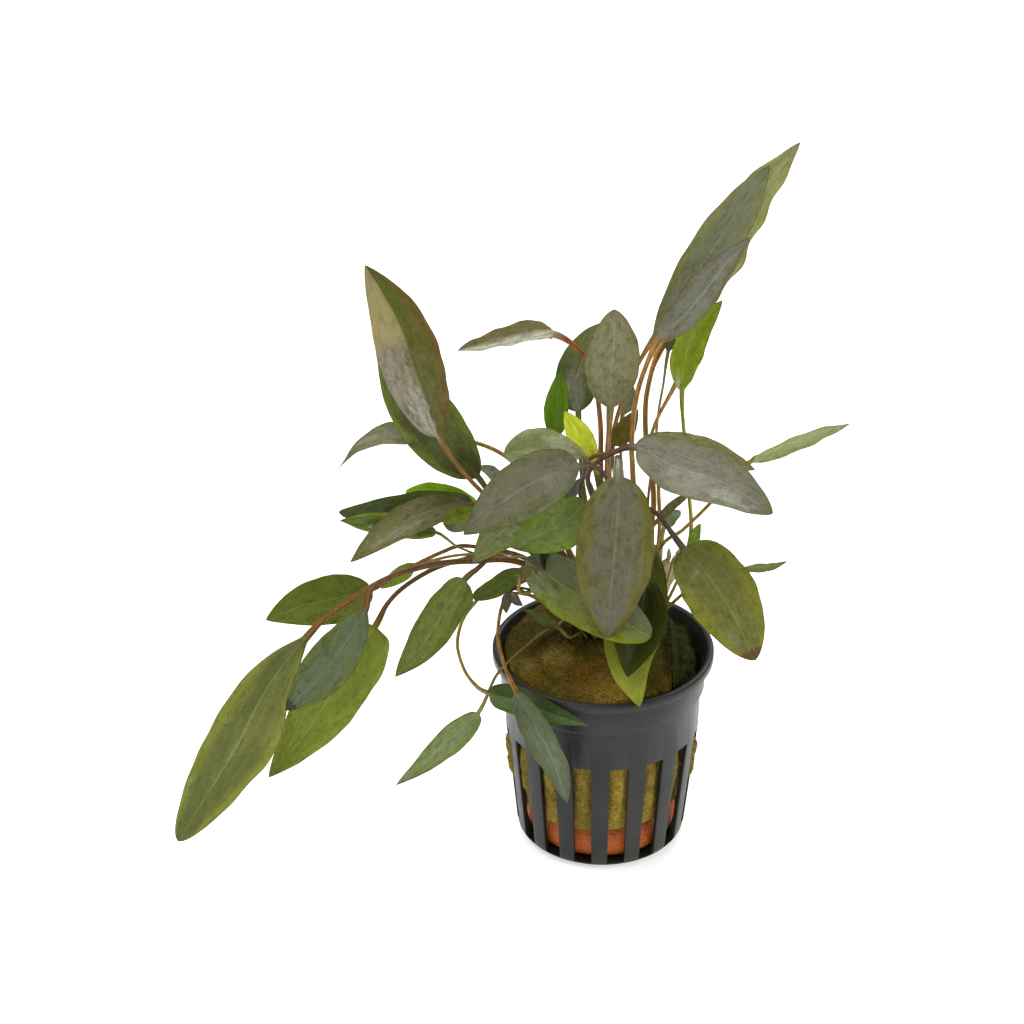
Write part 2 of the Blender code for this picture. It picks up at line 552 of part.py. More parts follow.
def middle_leaves():
    """The large leaves that cover the middle of the plant."""
    leaf("leaf_silver_right", GREYISH, root=(3.6, 3.6),
         petiole=[(-2, -1.5, 38), (-4.5, -2.5, 48.5), (-2.5, -4.5, 54.5), (2, -6.5, 58.5)],
         blade=[(7, -9, 61), (16, -13, 58), (27, -18, 56.5), (38.5, -23, 51)],
         width=13.2, thick=1.15, toe=0.65, heel=0.5, turn=-10)
    leaf("leaf_olive_right", OLIVE_GREEN, root=(6.3, 5.4),
         petiole=[(-2, 4, 38), (-4.5, 4, 45.5), (-4, 3, 51), (0, 0, 54.5)],
         blade=[(7, -4, 58.5), (15, -5, 58), (25, -7, 57), (35, -10, 55.5)],
         width=9.4, heel=0.55, turn=-20, sides=6)
    leaf("leaf_mottled_right", OLIVE_GREEN, root=(10, 5.4), thick=1.1,
         petiole=[(11, -1, 28), (9.5, -4, 40.5), (12.5, -8, 42)],
         blade=[(18.5, -12, 35), (24, -17, 31), (29.5, -23, 24.5), (35.5, -28, 13.5)],
         width=16.6, heel=0.4, toe=0.65, turn=0, belly=0.44, blade_rings=8)
    leaf("leaf_front_big", MAUVE, root=(5.6, 4.1),
         petiole=[(1.5, -2, 35.5), (2, -2, 48), (2.5, -6, 56.5)],
         blade=[(2.5, -10, 53.5), (2.5, -15, 48), (1.5, -21, 36), (0, -27, 19)],
         width=18.6, heel=0.5, turn=0, belly=0.46, blade_rings=8)
    leaf("leaf_front_left", GREYISH, root=(4.4, 1.6),
         petiole=[(1.5, -5, 39), (0, -6, 51), (-3.5, -8, 55.5)],
         blade=[(-7, -11, 57), (-15, -16, 57), (-24, -20.5, 53.5), (-34, -25, 46.5)],
         width=14, heel=0.6, turn=-10)
    leaf("leaf_curved_over", OLIVE_GREEN, root=(4.4, 5.6),
         petiole=[(-5.5, 1, 40), (-5, 1, 48)],
         blade=[(-5.5, -0.5, 54), (-11, -4, 57.2), (-17, -8, 59.8), (-24.5, -12, 61)],
         width=10.5, heel=0.6, toe=0.5, turn=0, belly=0.6)
    leaf("leaf_behind_middle", SAGE_GREEN, root=(2.5, 5.4),
         petiole=[(-9, -1, 28), (-13, -3, 39)],
         blade=[(-14, -6, 45), (-19.5, -10, 43.5), (-26, -14, 40), (-32, -18, 34.5)],
         width=10, heel=0.6, turn=0)
    leaf("leaf_before_middle", SAGE_GREEN, root=(2.3, 1.8),
         petiole=[(-3, -5.5, 33), (-3, -8, 43)],
         blade=[(-5, -12, 47), (-10.5, -16, 44.5), (-17, -19, 42.5), (-23, -21.5, 41)],
         width=12, heel=0.6, turn=0)
    leaf("leaf_over_plug", SAGE_GREEN, root=(-1.6, 2.9),
         petiole=[(-11, -7, 21), (-16, -9, 28)],
         blade=[(-18.5, -10, 31), (-11, -16.5, 27.9), (-0.5, -22, 23.7), (10.5, -26.5, 19)],
         width=14, heel=0.5, toe=0.45, turn=0, belly=0.45, blade_rings=8)
    leaf("leaf_olive_wisp", OLIVE_GREEN, root=(9.6, 7.8), thick=0.8,
         petiole=[(11, 8.5, 19.5), (11.5, 9, 28)],
         blade=[(13.5, 9.5, 30.5), (15, 9.5, 32.5), (17, 10, 34.5), (20.5, 10, 37.5)],
         width=2.2, toe=0.3, heel=0.3, turn=0, sides=6, blade_rings=4)
    leaf("leaf_right_bud", SAGE_GREEN, root=(10.6, 10.4), thick=0.7,
         petiole=[(14, 11.5, 14), (14.5, 12, 23)],
         blade=[(15, 12, 27), (16, 12, 28.5), (17, 12, 30), (19, 12, 31.5)],
         width=3.2, heel=0.6, toe=0.4, turn=0, sides=6, blade_rings=4)
    leaf("leaf_right_sprout", VIVID, root=(14.8, 10.8), thick=0.7,
         petiole=[(17.5, 10, 10), (20.5, 12, 17)],
         blade=[(21.5, 13, 21), (22.5, 13, 23), (23, 13, 25), (24, 13, 27.5)],
         width=2.8, turn=0, sides=6, petiole_bends=3, blade_rings=3)


def low_left_leaves():
    """The bundle that arches over the rim and hangs down at the left."""
    leaf("leaf_low_outer", SAGE_GREEN, root=(-3, 5.6), thick=1.3,
         petiole=[(-18, -4, 25), (-32, -6, 28), (-49, -8, 26), (-65, -11, 17.5)],
         blade=[(-73, -13, 10), (-82, -20, 0.5), (-90.5, -28.5, -13), (-104, -37, -33)],
         width=15, swells=[(1, 0.45, 0.15, 1.5)], heel=0.7, toe=0.6,
         turn=0, belly=0.5, blade_rings=8)
    leaf("leaf_low_yellow", YELLOWISH, root=(-4.8, 7.6), thick=1.1,
         petiole=[(-18, 0.5, 22), (-28, 0.5, 25.5), (-35, -3, 26.5), (-41.5, -4.5, 25),
                  (-48.5, -7, 21.5), (-53, -9, 17.5)],
         blade=[(-56, -10.5, 12), (-63.5, -16, 2), (-71.5, -22, -9), (-82, -27, -21)],
         width=17, heel=0.45, turn=10, belly=0.33, blade_rings=8)
    leaf("leaf_low_blue", GREYISH, root=(-0.6, 4.6), thick=1.1,
         petiole=[(-18, -7, 27), (-33, -10.5, 30.5), (-43.5, -13, 30.5), (-53.5, -12.5, 26.5),
                  (-57, -15.5, 24.5)],
         blade=[(-58, -18, 21), (-63, -22, 14), (-69, -26, 7.5), (-77, -30, 0.5)],
         width=11.5, heel=0.6, turn=0, belly=0.5)
    leaf("leaf_low_dark", DARK, root=(-5.4, 9.8), thick=0.9,
         petiole=[(-18, 4, 22), (-33, 2.5, 27), (-40, 1.5, 26), (-49.5, 0.5, 21)],
         blade=[(-57, -2, 17.5), (-65, -4.5, 16.5), (-74, -7.5, 16), (-82.5, -10.5, 14)],
         width=12, heel=0.55, turn=0, sides=6)
    leaf("leaf_low_small", SAGE_GREEN, root=(-6, 12), thick=0.7,
         petiole=[(-20, 7, 21), (-35, 7, 22)],
         blade=[(-46, 6, 19.5), (-49, 5.5, 18), (-52, 5, 16), (-55, 4, 14)],
         width=4, turn=0, sides=6, blade_rings=5)
    leaf("leaf_low_middle", SAGE_GREEN, root=(0.3, 2),
         petiole=[(-10.5, -6.5, 31), (-20.5, -12.5, 37), (-25.5, -15, 36.5), (-30.5, -17.5, 33)],
         blade=[(-34, -19, 30.5), (-38, -22, 25), (-43.5, -26, 17.5), (-50.5, -29, 9.5)],
         width=9.2, swells=[(1, 0.12, 0.1, 1.2)], heel=0.45, turn=0, sides=6)
    leaf("leaf_low_bright", VIVID, root=(-3.4, 3.2), thick=0.8,
         petiole=[(-15, -9, 20.5), (-20.5, -15, 24.5)],
         blade=[(-21, -18, 31), (-23, -18.5, 31), (-26.5, -20, 29), (-32, -21.5, 27)],
         width=4.8, toe=0.4, heel=0.4, turn=0, sides=6, blade_rings=6)


def leaves_over_the_pot():
    """The leaves that hang over the rim, at the front and the lower left."""
    leaf("leaf_rim_yellow", YELLOWISH, root=(10.6, 3),
         petiole=[(11.5, 0, 19.5), (10.5, -1.5, 28.5)],
         blade=[(12, -5, 30), (7.5, -13.5, 18.6), (5.7, -22.3, 9.5), (8, -30.5, 1.8)],
         width=14.6, turn=0, fold=28, belly=0.45, blade_rings=8)
    leaf("leaf_rim_dark", DARK, root=(8.4, 2.2),
         petiole=[(-1, -9, 12), (-2.2, -17.5, 18.5), (1.2, -20.8, 25)],
         blade=[(8.6, -17, 28.5), (8.5, -18, 20.7), (6.5, -23.4, 14.5), (5, -28.4, 9)],
         width=13, heel=0.6, turn=0, fold=28, sides=6)
    leaf("leaf_pot_front", SAGE_GREEN, root=(-5.4, 4.4), thick=0.8,
         petiole=[(-16, -9, 24), (-23.5, -13, 23), (-26, -18, 15), (-24.5, -22, 8.7)],
         blade=[(-21.5, -25, 2.4), (-17, -28, -5.2), (-12.5, -28, -15.8), (-9, -26.5, -28.8)],
         width=9.5, heel=0.5, face=Vector((-0.5, -0.87, 0.1)), fold=8, belly=0.45)
    leaf("leaf_pot_behind", SAGE_GREEN, root=(-7.2, 6.2), thick=0.8,
         petiole=[(-24, -6, 21), (-33, -8, 15.5), (-36, -10.5, 8.5), (-34.5, -12.5, 1.5),
                  (-31.5, -14.3, -2.6)],
         blade=[(-28, -17, -3.1), (-20.2, -21.1, -2.8), (-12.1, -26.2, -3.3), (-4, -28.6, -4.8)],
         width=7.5, heel=0.55, face=Vector((-0.5, -0.8, 0.3)), fold=5, belly=0.3, sides=6,
         petiole_bends=9)
    leaf("leaf_pot_left", SAGE_GREEN, root=(-8.3, 9.4), thick=0.7,
         petiole=[(-11, 4.8, 2.8), (-15, 1, 2.9), (-21.5, -7.5, 2.2), (-24.8, -12, 1.4),
                  (-27, -14, -1)],
         blade=[(-31, -17, -9), (-37.5, -20, -14), (-44, -23, -19.5), (-51, -26, -24)],
         width=6, swells=[(1, 0.3, 0.2, 0.8)], heel=0.5, turn=0, belly=0.36, sides=6, petiole_bends=7)
    leaf("leaf_on_wool", OLIVE_GREEN, root=(-5.6, 1.8), thick=0.6,
         petiole=[(-8.5, -7.5, 7)],
         blade=[(-11, -8, 10), (-14, -9, 12.5), (-17, -10.5, 15.5), (-20, -12, 18)],
         width=3, turn=0, sides=6, blade_rings=4)


clear_scene()
PARTS = make_collection("potted_cryptocoryne")
CUTTERS = make_collection("cutters")

make_pot(PARTS, CUTTERS)
make_clay(PARTS)
make_wool(PARTS, CUTTERS)
upper_right_leaves()
upper_middle_leaves()
upper_left_leaves()
left_leaves()
middle_leaves()
low_left_leaves()
leaves_over_the_pot()
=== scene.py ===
"""A potted cryptocoryne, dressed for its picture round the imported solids.

Lengths are in millimetres where a name or a list says nothing else, and MM turns them to metres.
"""

import math
import random

import bmesh
import bpy
from mathutils import Matrix, Vector, noise


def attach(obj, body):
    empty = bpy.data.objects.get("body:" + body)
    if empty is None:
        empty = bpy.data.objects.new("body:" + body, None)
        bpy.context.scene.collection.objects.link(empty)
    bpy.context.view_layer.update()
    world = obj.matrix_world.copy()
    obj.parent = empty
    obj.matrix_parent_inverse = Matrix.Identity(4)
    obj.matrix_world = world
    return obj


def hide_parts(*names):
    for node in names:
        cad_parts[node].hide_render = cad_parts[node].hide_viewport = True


MM = 0.001
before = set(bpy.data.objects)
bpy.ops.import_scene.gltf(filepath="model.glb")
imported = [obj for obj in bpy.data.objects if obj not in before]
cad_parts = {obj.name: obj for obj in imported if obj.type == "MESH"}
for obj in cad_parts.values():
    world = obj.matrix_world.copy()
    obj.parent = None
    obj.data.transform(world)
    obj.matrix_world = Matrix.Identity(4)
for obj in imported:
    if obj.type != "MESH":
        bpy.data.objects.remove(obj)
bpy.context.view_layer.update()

# The net pot is injection-moulded dark slate plastic: a turned cup with a rolled lip, a collar
# with one faint step, and sixteen tapered slots through its wall and into its foot.
POT_HEIGHT = 53.2
LIP_RADIUS = 27.5
LIP_INNER_RADIUS = 25.9
LIP_DEPTH = 2.5
LIP_BOTTOM = POT_HEIGHT - LIP_DEPTH
WALL = 1.1
COLLAR_TOP_RADIUS = 25.8
RIDGE_HEIGHT = 43.2
RIDGE_RADIUS = 24.9
RIDGE_STEP = 0.5
RIDGE_PROUD = 0.5
SLOT_TOP = 32.2
SLOT_TOP_RADIUS = 24.2
FOOT_HEIGHT = 3.4
FOOT_RADIUS = 21.3
BASE_RADIUS = 17.9
FLOOR = 1.4
POT_STEPS = 144
SLOTS = 16
SLOT_TURN = -2.2
SLOT_BOTTOM = 1.8
SLOT_WIDTH_TOP = 4.8
SLOT_WIDTH_BOTTOM = 4.4
SLOT_REACH_IN = 17.2
SLOT_REACH_OUT = 30.0
SLOT_ROUND = 0.5
DRAIN_HOLES = 6
DRAIN_RADIUS = 1.8
DRAIN_CIRCLE = 11.0


class Value:
    """One output of a shader node, which takes part in sums as a number does."""

    def __init__(self, finish, socket):
        self.finish = finish
        self.socket = socket

    def maths(self, operation, *parts):
        return self.finish.node("ShaderNodeMath", {"operation": operation}, dict(enumerate(parts)))

    def __add__(self, other):
        return self.maths("ADD", self, other)

    def __sub__(self, other):
        return self.maths("SUBTRACT", self, other)

    def __rsub__(self, other):
        return self.maths("SUBTRACT", other, self)

    def __mul__(self, other):
        return self.maths("MULTIPLY", self, other)

    def __truediv__(self, other):
        return self.maths("DIVIDE", self, other)

    def __rtruediv__(self, other):
        return self.maths("DIVIDE", other, self)

    def __pow__(self, other):
        return self.maths("POWER", self, other)

    def __abs__(self):
        return self.maths("ABSOLUTE", self, 0.0)

    __radd__ = __add__
    __rmul__ = __mul__

    def fract(self):
        return self.maths("FRACT", self, 0.0)

    def high(self, other):
        return self.maths("MAXIMUM", self, other)

    def step(self, start, end):
        """0 below start and 1 above end, smooth between them."""
        return self.finish.node(
            "ShaderNodeMapRange", {"interpolation_type": "SMOOTHSTEP"},
            {"Value": self, "From Min": start, "From Max": end})


class Finish:
    """A material under construction."""

    def __init__(self, name):
        self.material = bpy.data.materials.new(name)
        self.material.use_nodes = True
        self.tree = self.material.node_tree
        self.shader = self.tree.nodes["Principled BSDF"]

    def node(self, kind, settings=None, sockets=None, output=0):
        """A node of any kind: its settings first, then its sockets' values or links."""
        node = self.tree.nodes.new(kind)
        for name, value in (settings or {}).items():
            setattr(node, name, value)
        for name, value in (sockets or {}).items():
            self.join(value, node.inputs[name])
        return Value(self, node.outputs[output])

    def join(self, value, socket):
        if isinstance(value, Value):
            self.tree.links.new(value.socket, socket)
        elif socket.type == "RGBA" and len(value) == 3:
            socket.default_value = (*value, 1.0)
        else:
            socket.default_value = value

    def set(self, **values):
        """Puts values or links on the shader: base_color=..., roughness=... and so on."""
        sockets = {socket.name.lower().replace(" ", "_"): socket for socket in self.shader.inputs}
        for name, value in values.items():
            self.join(value, sockets[name])
        return self.material

    def place(self):
        return self.node("ShaderNodeTexCoord", output="Object")

    def attribute(self, name):
        return self.node("ShaderNodeAttribute", {"attribute_name": name}, output="Fac")

    def stretched(self, vector, scale):
        return self.node("ShaderNodeMapping", None, {"Vector": vector, "Scale": scale})

    def vector(self, x, y, z):
        return self.node("ShaderNodeCombineXYZ", None, {"X": x, "Y": y, "Z": z})

    def split(self, vector):
        node = self.node("ShaderNodeSeparateXYZ", None, {"Vector": vector})
        return [Value(self, output) for output in node.socket.node.outputs]

    def cloud(self, vector, scale, detail=3.0, roughness=0.55):
        return self.node(
            "ShaderNodeTexNoise", None,
            {"Vector": vector, "Scale": scale, "Detail": detail, "Roughness": roughness})

    def mix(self, share, first, second, blend="MIX"):
        """One colour going over to another as share goes from 0 to 1."""
        return self.node(
            "ShaderNodeMix", {"data_type": "RGBA", "blend_type": blend},
            {0: share, 6: first, 7: second}, output=2)

    def darken(self, colour, share):
        """The colour times a grey level."""
        grey = self.node(
            "ShaderNodeCombineColor", None, {"Red": share, "Green": share, "Blue": share})
        return self.mix(1.0, colour, grey, "MULTIPLY")

    def bump(self, height, distance):
        """Normals for a height of 0 to 1 that stands for distance millimetres."""
        return self.node(
            "ShaderNodeBump", None,
            {"Height": height, "Distance": distance * MM, "Strength": 1.0})


def add_piece(name, bm, material, smooth=math.radians(45)):
    """Turn a bmesh into an object at the origin, smooth but for its sharp edges."""
    mesh = bpy.data.meshes.new(name)
    bm.to_mesh(mesh)
    bm.free()
    mesh.shade_smooth()
    mesh.set_sharp_from_angle(angle=smooth)
    mesh.materials.append(material)
    obj = bpy.data.objects.new(name, mesh)
    bpy.context.scene.collection.objects.link(obj)
    return obj


def applied(obj):
    """Replace an object's mesh by what its modifiers make of it."""
    evaluated = obj.evaluated_get(bpy.context.evaluated_depsgraph_get())
    mesh = bpy.data.meshes.new_from_object(evaluated)
    obj.modifiers.clear()
    obj.data = mesh
    mesh.name = obj.name
    return obj


def cut_with(obj, other, operation):
    """Add a boolean with another object, which comes into effect with applied()."""
    cut = obj.modifiers.new("Cut", "BOOLEAN")
    cut.object = other
    cut.operation = operation
    cut.solver = "EXACT"


def place_piece(obj, slot, *nodes):
    """Hand a finished piece to the frame, and hide the solids it stands for."""
    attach(obj, "root")
    if nodes:
        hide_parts(*nodes)


def by_corners(corners):
    """A key that puts faces in the same order on every run, whatever order they were made in."""
    return sorted(tuple(corner) for corner in corners)


def spun(profile, steps):
    """A profile of (radius, height) turned about the pot's axis, closed at both ends."""
    bm = bmesh.new()
    verts = [bm.verts.new((r * MM, 0.0, z * MM)) for r, z in profile]
    edges = [bm.edges.new(pair) for pair in zip(verts, verts[1:])]
    bmesh.ops.spin(
        bm, geom=verts + edges, cent=(0, 0, 0), axis=(0, 0, 1), angle=math.tau, steps=steps,
        use_merge=True)
    bmesh.ops.remove_doubles(bm, verts=bm.verts, dist=0.00001)
    bmesh.ops.recalc_face_normals(bm, faces=bm.faces)
    for parts, key in (
            (bm.verts, lambda vert: tuple(vert.co)),
            (bm.faces, lambda face: by_corners(vert.co for vert in face.verts))):
        for i, part in enumerate(sorted(parts, key=key)):
            part.index = i
        parts.sort()
    return bm


def pot_profile():
    """The pot's section from the middle of its floor, up inside, over the lip and down."""
    inside = [
        (0.0, FLOOR), (BASE_RADIUS - 1.5, FLOOR), (BASE_RADIUS, FLOOR + 0.15),
        (FOOT_RADIUS - WALL - 0.9, FLOOR + 0.9), (FOOT_RADIUS - WALL - 0.2, FLOOR + 1.8),
        (FOOT_RADIUS - WALL, FOOT_HEIGHT + 1.0), (SLOT_TOP_RADIUS - WALL, SLOT_TOP),
        (RIDGE_RADIUS - WALL, RIDGE_HEIGHT), (COLLAR_TOP_RADIUS - WALL, LIP_BOTTOM),
        (LIP_INNER_RADIUS - 0.25, POT_HEIGHT - 1.0), (LIP_INNER_RADIUS, POT_HEIGHT - 0.45),
    ]
    crest = POT_HEIGHT
    lip = [
        (LIP_INNER_RADIUS + 0.15, crest - 0.15), (LIP_INNER_RADIUS + 0.45, crest),
        (LIP_RADIUS - 0.5, crest), (LIP_RADIUS - 0.15, crest - 0.15), (LIP_RADIUS, crest - 0.5),
        (LIP_RADIUS, LIP_BOTTOM + 0.35), (LIP_RADIUS - 0.3, LIP_BOTTOM),
        (COLLAR_TOP_RADIUS + 0.4, LIP_BOTTOM - 0.1), (COLLAR_TOP_RADIUS - 0.2, LIP_BOTTOM - 0.6),
    ]
    outside = [
        (RIDGE_RADIUS + RIDGE_PROUD, RIDGE_HEIGHT + 0.4),
        (RIDGE_RADIUS + RIDGE_PROUD - 0.15, RIDGE_HEIGHT + 0.1),
        (RIDGE_RADIUS - RIDGE_STEP + 0.15, RIDGE_HEIGHT - 0.4),
        (RIDGE_RADIUS - RIDGE_STEP, RIDGE_HEIGHT - 0.8),
        (SLOT_TOP_RADIUS, SLOT_TOP),
    ]
    reach = FOOT_RADIUS - BASE_RADIUS
    for degrees in (0, 15, 30, 45, 60, 75):
        angle = math.radians(degrees)
        outside.append((
            BASE_RADIUS + reach * math.cos(angle), FOOT_HEIGHT - FOOT_HEIGHT * math.sin(angle)))
    return inside + lip + outside + [(BASE_RADIUS, 0.0), (0.0, 0.0)]


def slot_angle(i):
    return math.tau * (i + 0.5) / SLOTS - math.pi / 2 + math.radians(SLOT_TURN)


def slot_cutter():
    """Tapered blocks for the slots, with rounded corners, and rods for the drain holes."""
    bm = bmesh.new()
    for i in range(SLOTS):
        made = bmesh.ops.create_cube(bm, size=1.0)["verts"]
        for vert in made:
            at_top = vert.co.z > 0
            width = SLOT_WIDTH_TOP if at_top else SLOT_WIDTH_BOTTOM
            vert.co.x = (SLOT_REACH_OUT if vert.co.x > 0 else SLOT_REACH_IN) * MM
            vert.co.y *= width * MM
            vert.co.z = (SLOT_TOP if at_top else SLOT_BOTTOM) * MM
        long_edges = [
            e for e in bm.edges
            if e.verts[0] in made and abs(e.verts[0].co.x - e.verts[1].co.x) > 5 * MM]
        rounded = bmesh.ops.bevel(
            bm, geom=long_edges, offset=SLOT_ROUND * MM, affect="EDGES", segments=3,
            profile=0.5, material=-1)
        block = {v for f in rounded["faces"] for v in f.verts} | {v for v in made if v.is_valid}
        bmesh.ops.rotate(
            bm, verts=list(block), cent=(0, 0, 0), matrix=Matrix.Rotation(slot_angle(i), 3, "Z"))
    for i in range(DRAIN_HOLES):
        angle = math.tau * (i + 0.5) / DRAIN_HOLES
        spot = Vector((DRAIN_CIRCLE * math.cos(angle), DRAIN_CIRCLE * math.sin(angle), 0.0)) * MM
        bmesh.ops.create_cone(
            bm, cap_ends=True, segments=24, radius1=DRAIN_RADIUS * MM, radius2=DRAIN_RADIUS * MM,
            depth=4 * FLOOR * MM, matrix=Matrix.Translation(spot))
    return bm


def slate_plastic():
    finish = Finish("slate_plastic")
    place = finish.place()
    x, y, z = finish.split(place)
    grime = finish.cloud(place, 90, 5, 0.6)
    streaks = finish.cloud(finish.stretched(place, (1, 1, 0.12)), 260, 4, 0.6)
    scuffs = finish.cloud(finish.stretched(place, (0.25, 0.25, 2.6)), 340, 3, 0.5).step(0.62, 0.74)
    film = finish.cloud(place, 38, 4, 0.6).step(0.40, 0.62)
    colour = finish.mix(film, (0.021, 0.023, 0.023), (0.033, 0.033, 0.029))
    colour = finish.darken(colour, 0.74 + grime * 0.4 + streaks * 0.16)
    colour = finish.mix(scuffs * 0.22, colour, (0.085, 0.092, 0.09))
    silt = (1 - (z / MM).step(2.0, 9.0)) * grime.step(0.42, 0.7)
    colour = finish.mix(silt * 0.45, colour, (0.055, 0.045, 0.028))
    # Everything a little within the outer wall (the wall's inside, the floor, the underside and
    # the lowest curve of the foot) is painted near black: painted shade inside and under the pot.
    radius = (x * x + y * y) ** 0.5 / MM
    inside = 1 - (radius - z / MM * 0.085).step(20.6, 20.9)
    colour = finish.mix(inside * 0.8, colour, (0.014, 0.012, 0.008))
    rough = 0.20 + grime * 0.30 + scuffs * 0.15 + inside * 0.3
    rings = finish.cloud(finish.stretched(place, (0.2, 0.2, 1.0)), 420, 2, 0.5)
    height = rings * 0.6 + finish.cloud(place, 1500, 2, 0.5) * 0.25 + scuffs * 0.3
    return finish.set(
        base_color=colour, roughness=rough, specular_ior_level=0.2,
        normal=finish.bump(height, 0.03))


pot = add_piece("net_pot", spun(pot_profile(), POT_STEPS), slate_plastic())
cutter = add_piece("slot_cutter", slot_cutter(), pot.data.materials[0])
cut_with(pot, cutter, "DIFFERENCE")
soften = pot.modifiers.new("Soft edges", "BEVEL")
soften.width = 0.16 * MM
soften.segments = 2
soften.limit_method = "ANGLE"
soften.angle_limit = math.radians(50)
applied(pot)
bpy.data.objects.remove(cutter, do_unlink=True)
place_piece(pot, "pot_plastic", "pot")

# The fertiliser pellet is a thick disc of fired red clay with a rolled edge, pressed and baked,
# and it lies loose on the pot's floor.
CLAY_BOTTOM = FLOOR + 0.3
CLAY_TOP = 10.3
CLAY_RADIUS = 19.0
CLAY_ROUND = 1.8
CLAY_SHRINK = 0.12


def fired_clay():
    finish = Finish("fired_clay")
    place = finish.place()
    patches = finish.cloud(place, 160, 4, 0.6)
    grains = finish.cloud(place, 1400, 3, 0.6)
    pale = (patches * 0.7 + grains * 0.3).step(0.30, 0.56)
    colour = finish.mix(pale, (0.36, 0.072, 0.014), (0.68, 0.165, 0.032))
    pits = 1 - finish.cloud(place, 1900, 2, 0.5).step(0.30, 0.38)
    colour = finish.mix(pits * 0.5, colour, (0.10, 0.030, 0.012))
    return finish.set(
        base_color=colour, roughness=0.45 + grains * 0.25, specular_ior_level=0.3,
        normal=finish.bump(grains + patches - pits * 0.6, 0.25))


def clay_profile():
    middle = (CLAY_TOP + CLAY_BOTTOM) / 2
    rise = (CLAY_TOP - CLAY_BOTTOM) / 2
    profile = [(0.0, CLAY_TOP), (CLAY_RADIUS * 0.5, CLAY_TOP)]
    for step in range(13):
        angle = math.radians(90 - 15 * step)
        profile.append((
            CLAY_RADIUS - CLAY_ROUND + CLAY_ROUND * math.cos(angle),
            middle + rise * math.sin(angle)))
    return profile + [(CLAY_RADIUS * 0.5, CLAY_BOTTOM), (0.0, CLAY_BOTTOM)]


clay_mesh = spun(clay_profile(), 96)
for vert in clay_mesh.verts:
    dent = noise.noise(vert.co / MM * 0.22) * 0.22 + noise.noise(vert.co / MM * 0.7) * 0.09
    vert.co -= vert.normal * (CLAY_SHRINK - dent * 0.4) * MM
clay = add_piece("clay_pellet_disc", clay_mesh, fired_clay())
place_piece(clay, "fired_clay", "clay_pellet")

# The plug is a block of spun rock fibre, soaked and stained mustard brown and green, stuffed into
# the pot from above so that it swells a little through the slots.
GAP = 0.4
PLUG_BOTTOM = CLAY_TOP + 0.8
PLUG_RISE = 1.3
PLUG_SLOPE = 0.095
PLUG_EDGE_DROP = 1.4
PLUG_SHIFT = -1.0
FOLD_LEFT = 16.9
FOLD_BOTTOM = 36.0
WOOL_STEPS = 176
WOOL_RING = 0.62
FLAT_TOP_RADIUS = 21.45


def smoothstep(low, high, value):
    t = max(0.0, min(1.0, (value - low) / (high - low)))
    return t * t * (3 - 2 * t)


def wall_radius(height):
    """The pot's outer radius at a height, below the lip."""
    stations = [
        (FOOT_HEIGHT, FOOT_RADIUS), (SLOT_TOP, SLOT_TOP_RADIUS),
        (RIDGE_HEIGHT - RIDGE_STEP, RIDGE_RADIUS - RIDGE_STEP), (RIDGE_HEIGHT, RIDGE_RADIUS),
        (POT_HEIGHT, COLLAR_TOP_RADIUS),
    ]
    for (low, r_low), (high, r_high) in zip(stations, stations[1:]):
        if height <= high:
            return r_low + (r_high - r_low) * (height - low) / (high - low)
    return COLLAR_TOP_RADIUS


def inside_radius(height):
    """The radius of the pot's inside at a height."""
    if height <= LIP_BOTTOM:
        return wall_radius(height) - WALL
    low = COLLAR_TOP_RADIUS - WALL
    share = (height - LIP_BOTTOM) / (POT_HEIGHT - 0.3 - LIP_BOTTOM)
    return low + (LIP_INNER_RADIUS - low) * min(1.0, share)


def wool_profile():
    """Rings half a millimetre to a millimetre apart, from the top's middle to the underside's."""
    profile = [(r * 0.55, POT_HEIGHT + PLUG_RISE) for r in range(0, 40)]
    edge = LIP_INNER_RADIUS - GAP
    for step in range(1, 7):
        share = step / 6
        profile.append((
            FLAT_TOP_RADIUS + (edge - FLAT_TOP_RADIUS) * share,
            POT_HEIGHT + PLUG_RISE - PLUG_EDGE_DROP * share ** 2))
    height = LIP_BOTTOM + 1.4
    while height > PLUG_BOTTOM + 1.0:
        profile.append((inside_radius(height) - GAP, height))
        height -= WOOL_RING
    low = inside_radius(PLUG_BOTTOM) - GAP
    profile += [(low, PLUG_BOTTOM + 1.0), (low - 0.4, PLUG_BOTTOM + 0.3), (low - 1, PLUG_BOTTOM)]
    return profile + [(low * share, PLUG_BOTTOM) for share in (0.75, 0.5, 0.25, 0.0)]


def slot_share(angle, height):
    """1 in the middle of a slot and 0 over the pot's bars."""
    pitch = math.tau / SLOTS
    off = (angle - slot_angle(0) + pitch / 2) % pitch - pitch / 2
    across = abs(off) * wall_radius(height) / (SLOT_WIDTH_TOP / 2)
    rows = smoothstep(PLUG_BOTTOM + 2, PLUG_BOTTOM + 9, height)
    rows *= 1 - smoothstep(SLOT_TOP - 5.0, SLOT_TOP - 0.3, height)
    return (1 - smoothstep(0.45, 0.95, across)) * rows


def swell(angle):
    """How far the wool stands out of the slots, most at the pot's sides."""
    side = math.cos(angle)
    return 0.3 + 1.1 * smoothstep(0.80, 0.99, -side) + 1.9 * smoothstep(0.80, 0.99, side)


def shoulder(angle):
    """How far the wool's edge falls below its plain top: least in front, most at the right."""
    back = max(0.0, math.sin(angle)) * 1.6
    right = smoothstep(0.45, 0.95, math.cos(angle)) * 3.6
    left = smoothstep(0.5, 0.95, -math.cos(angle)) * 1.6
    return 1.1 + back + right + left


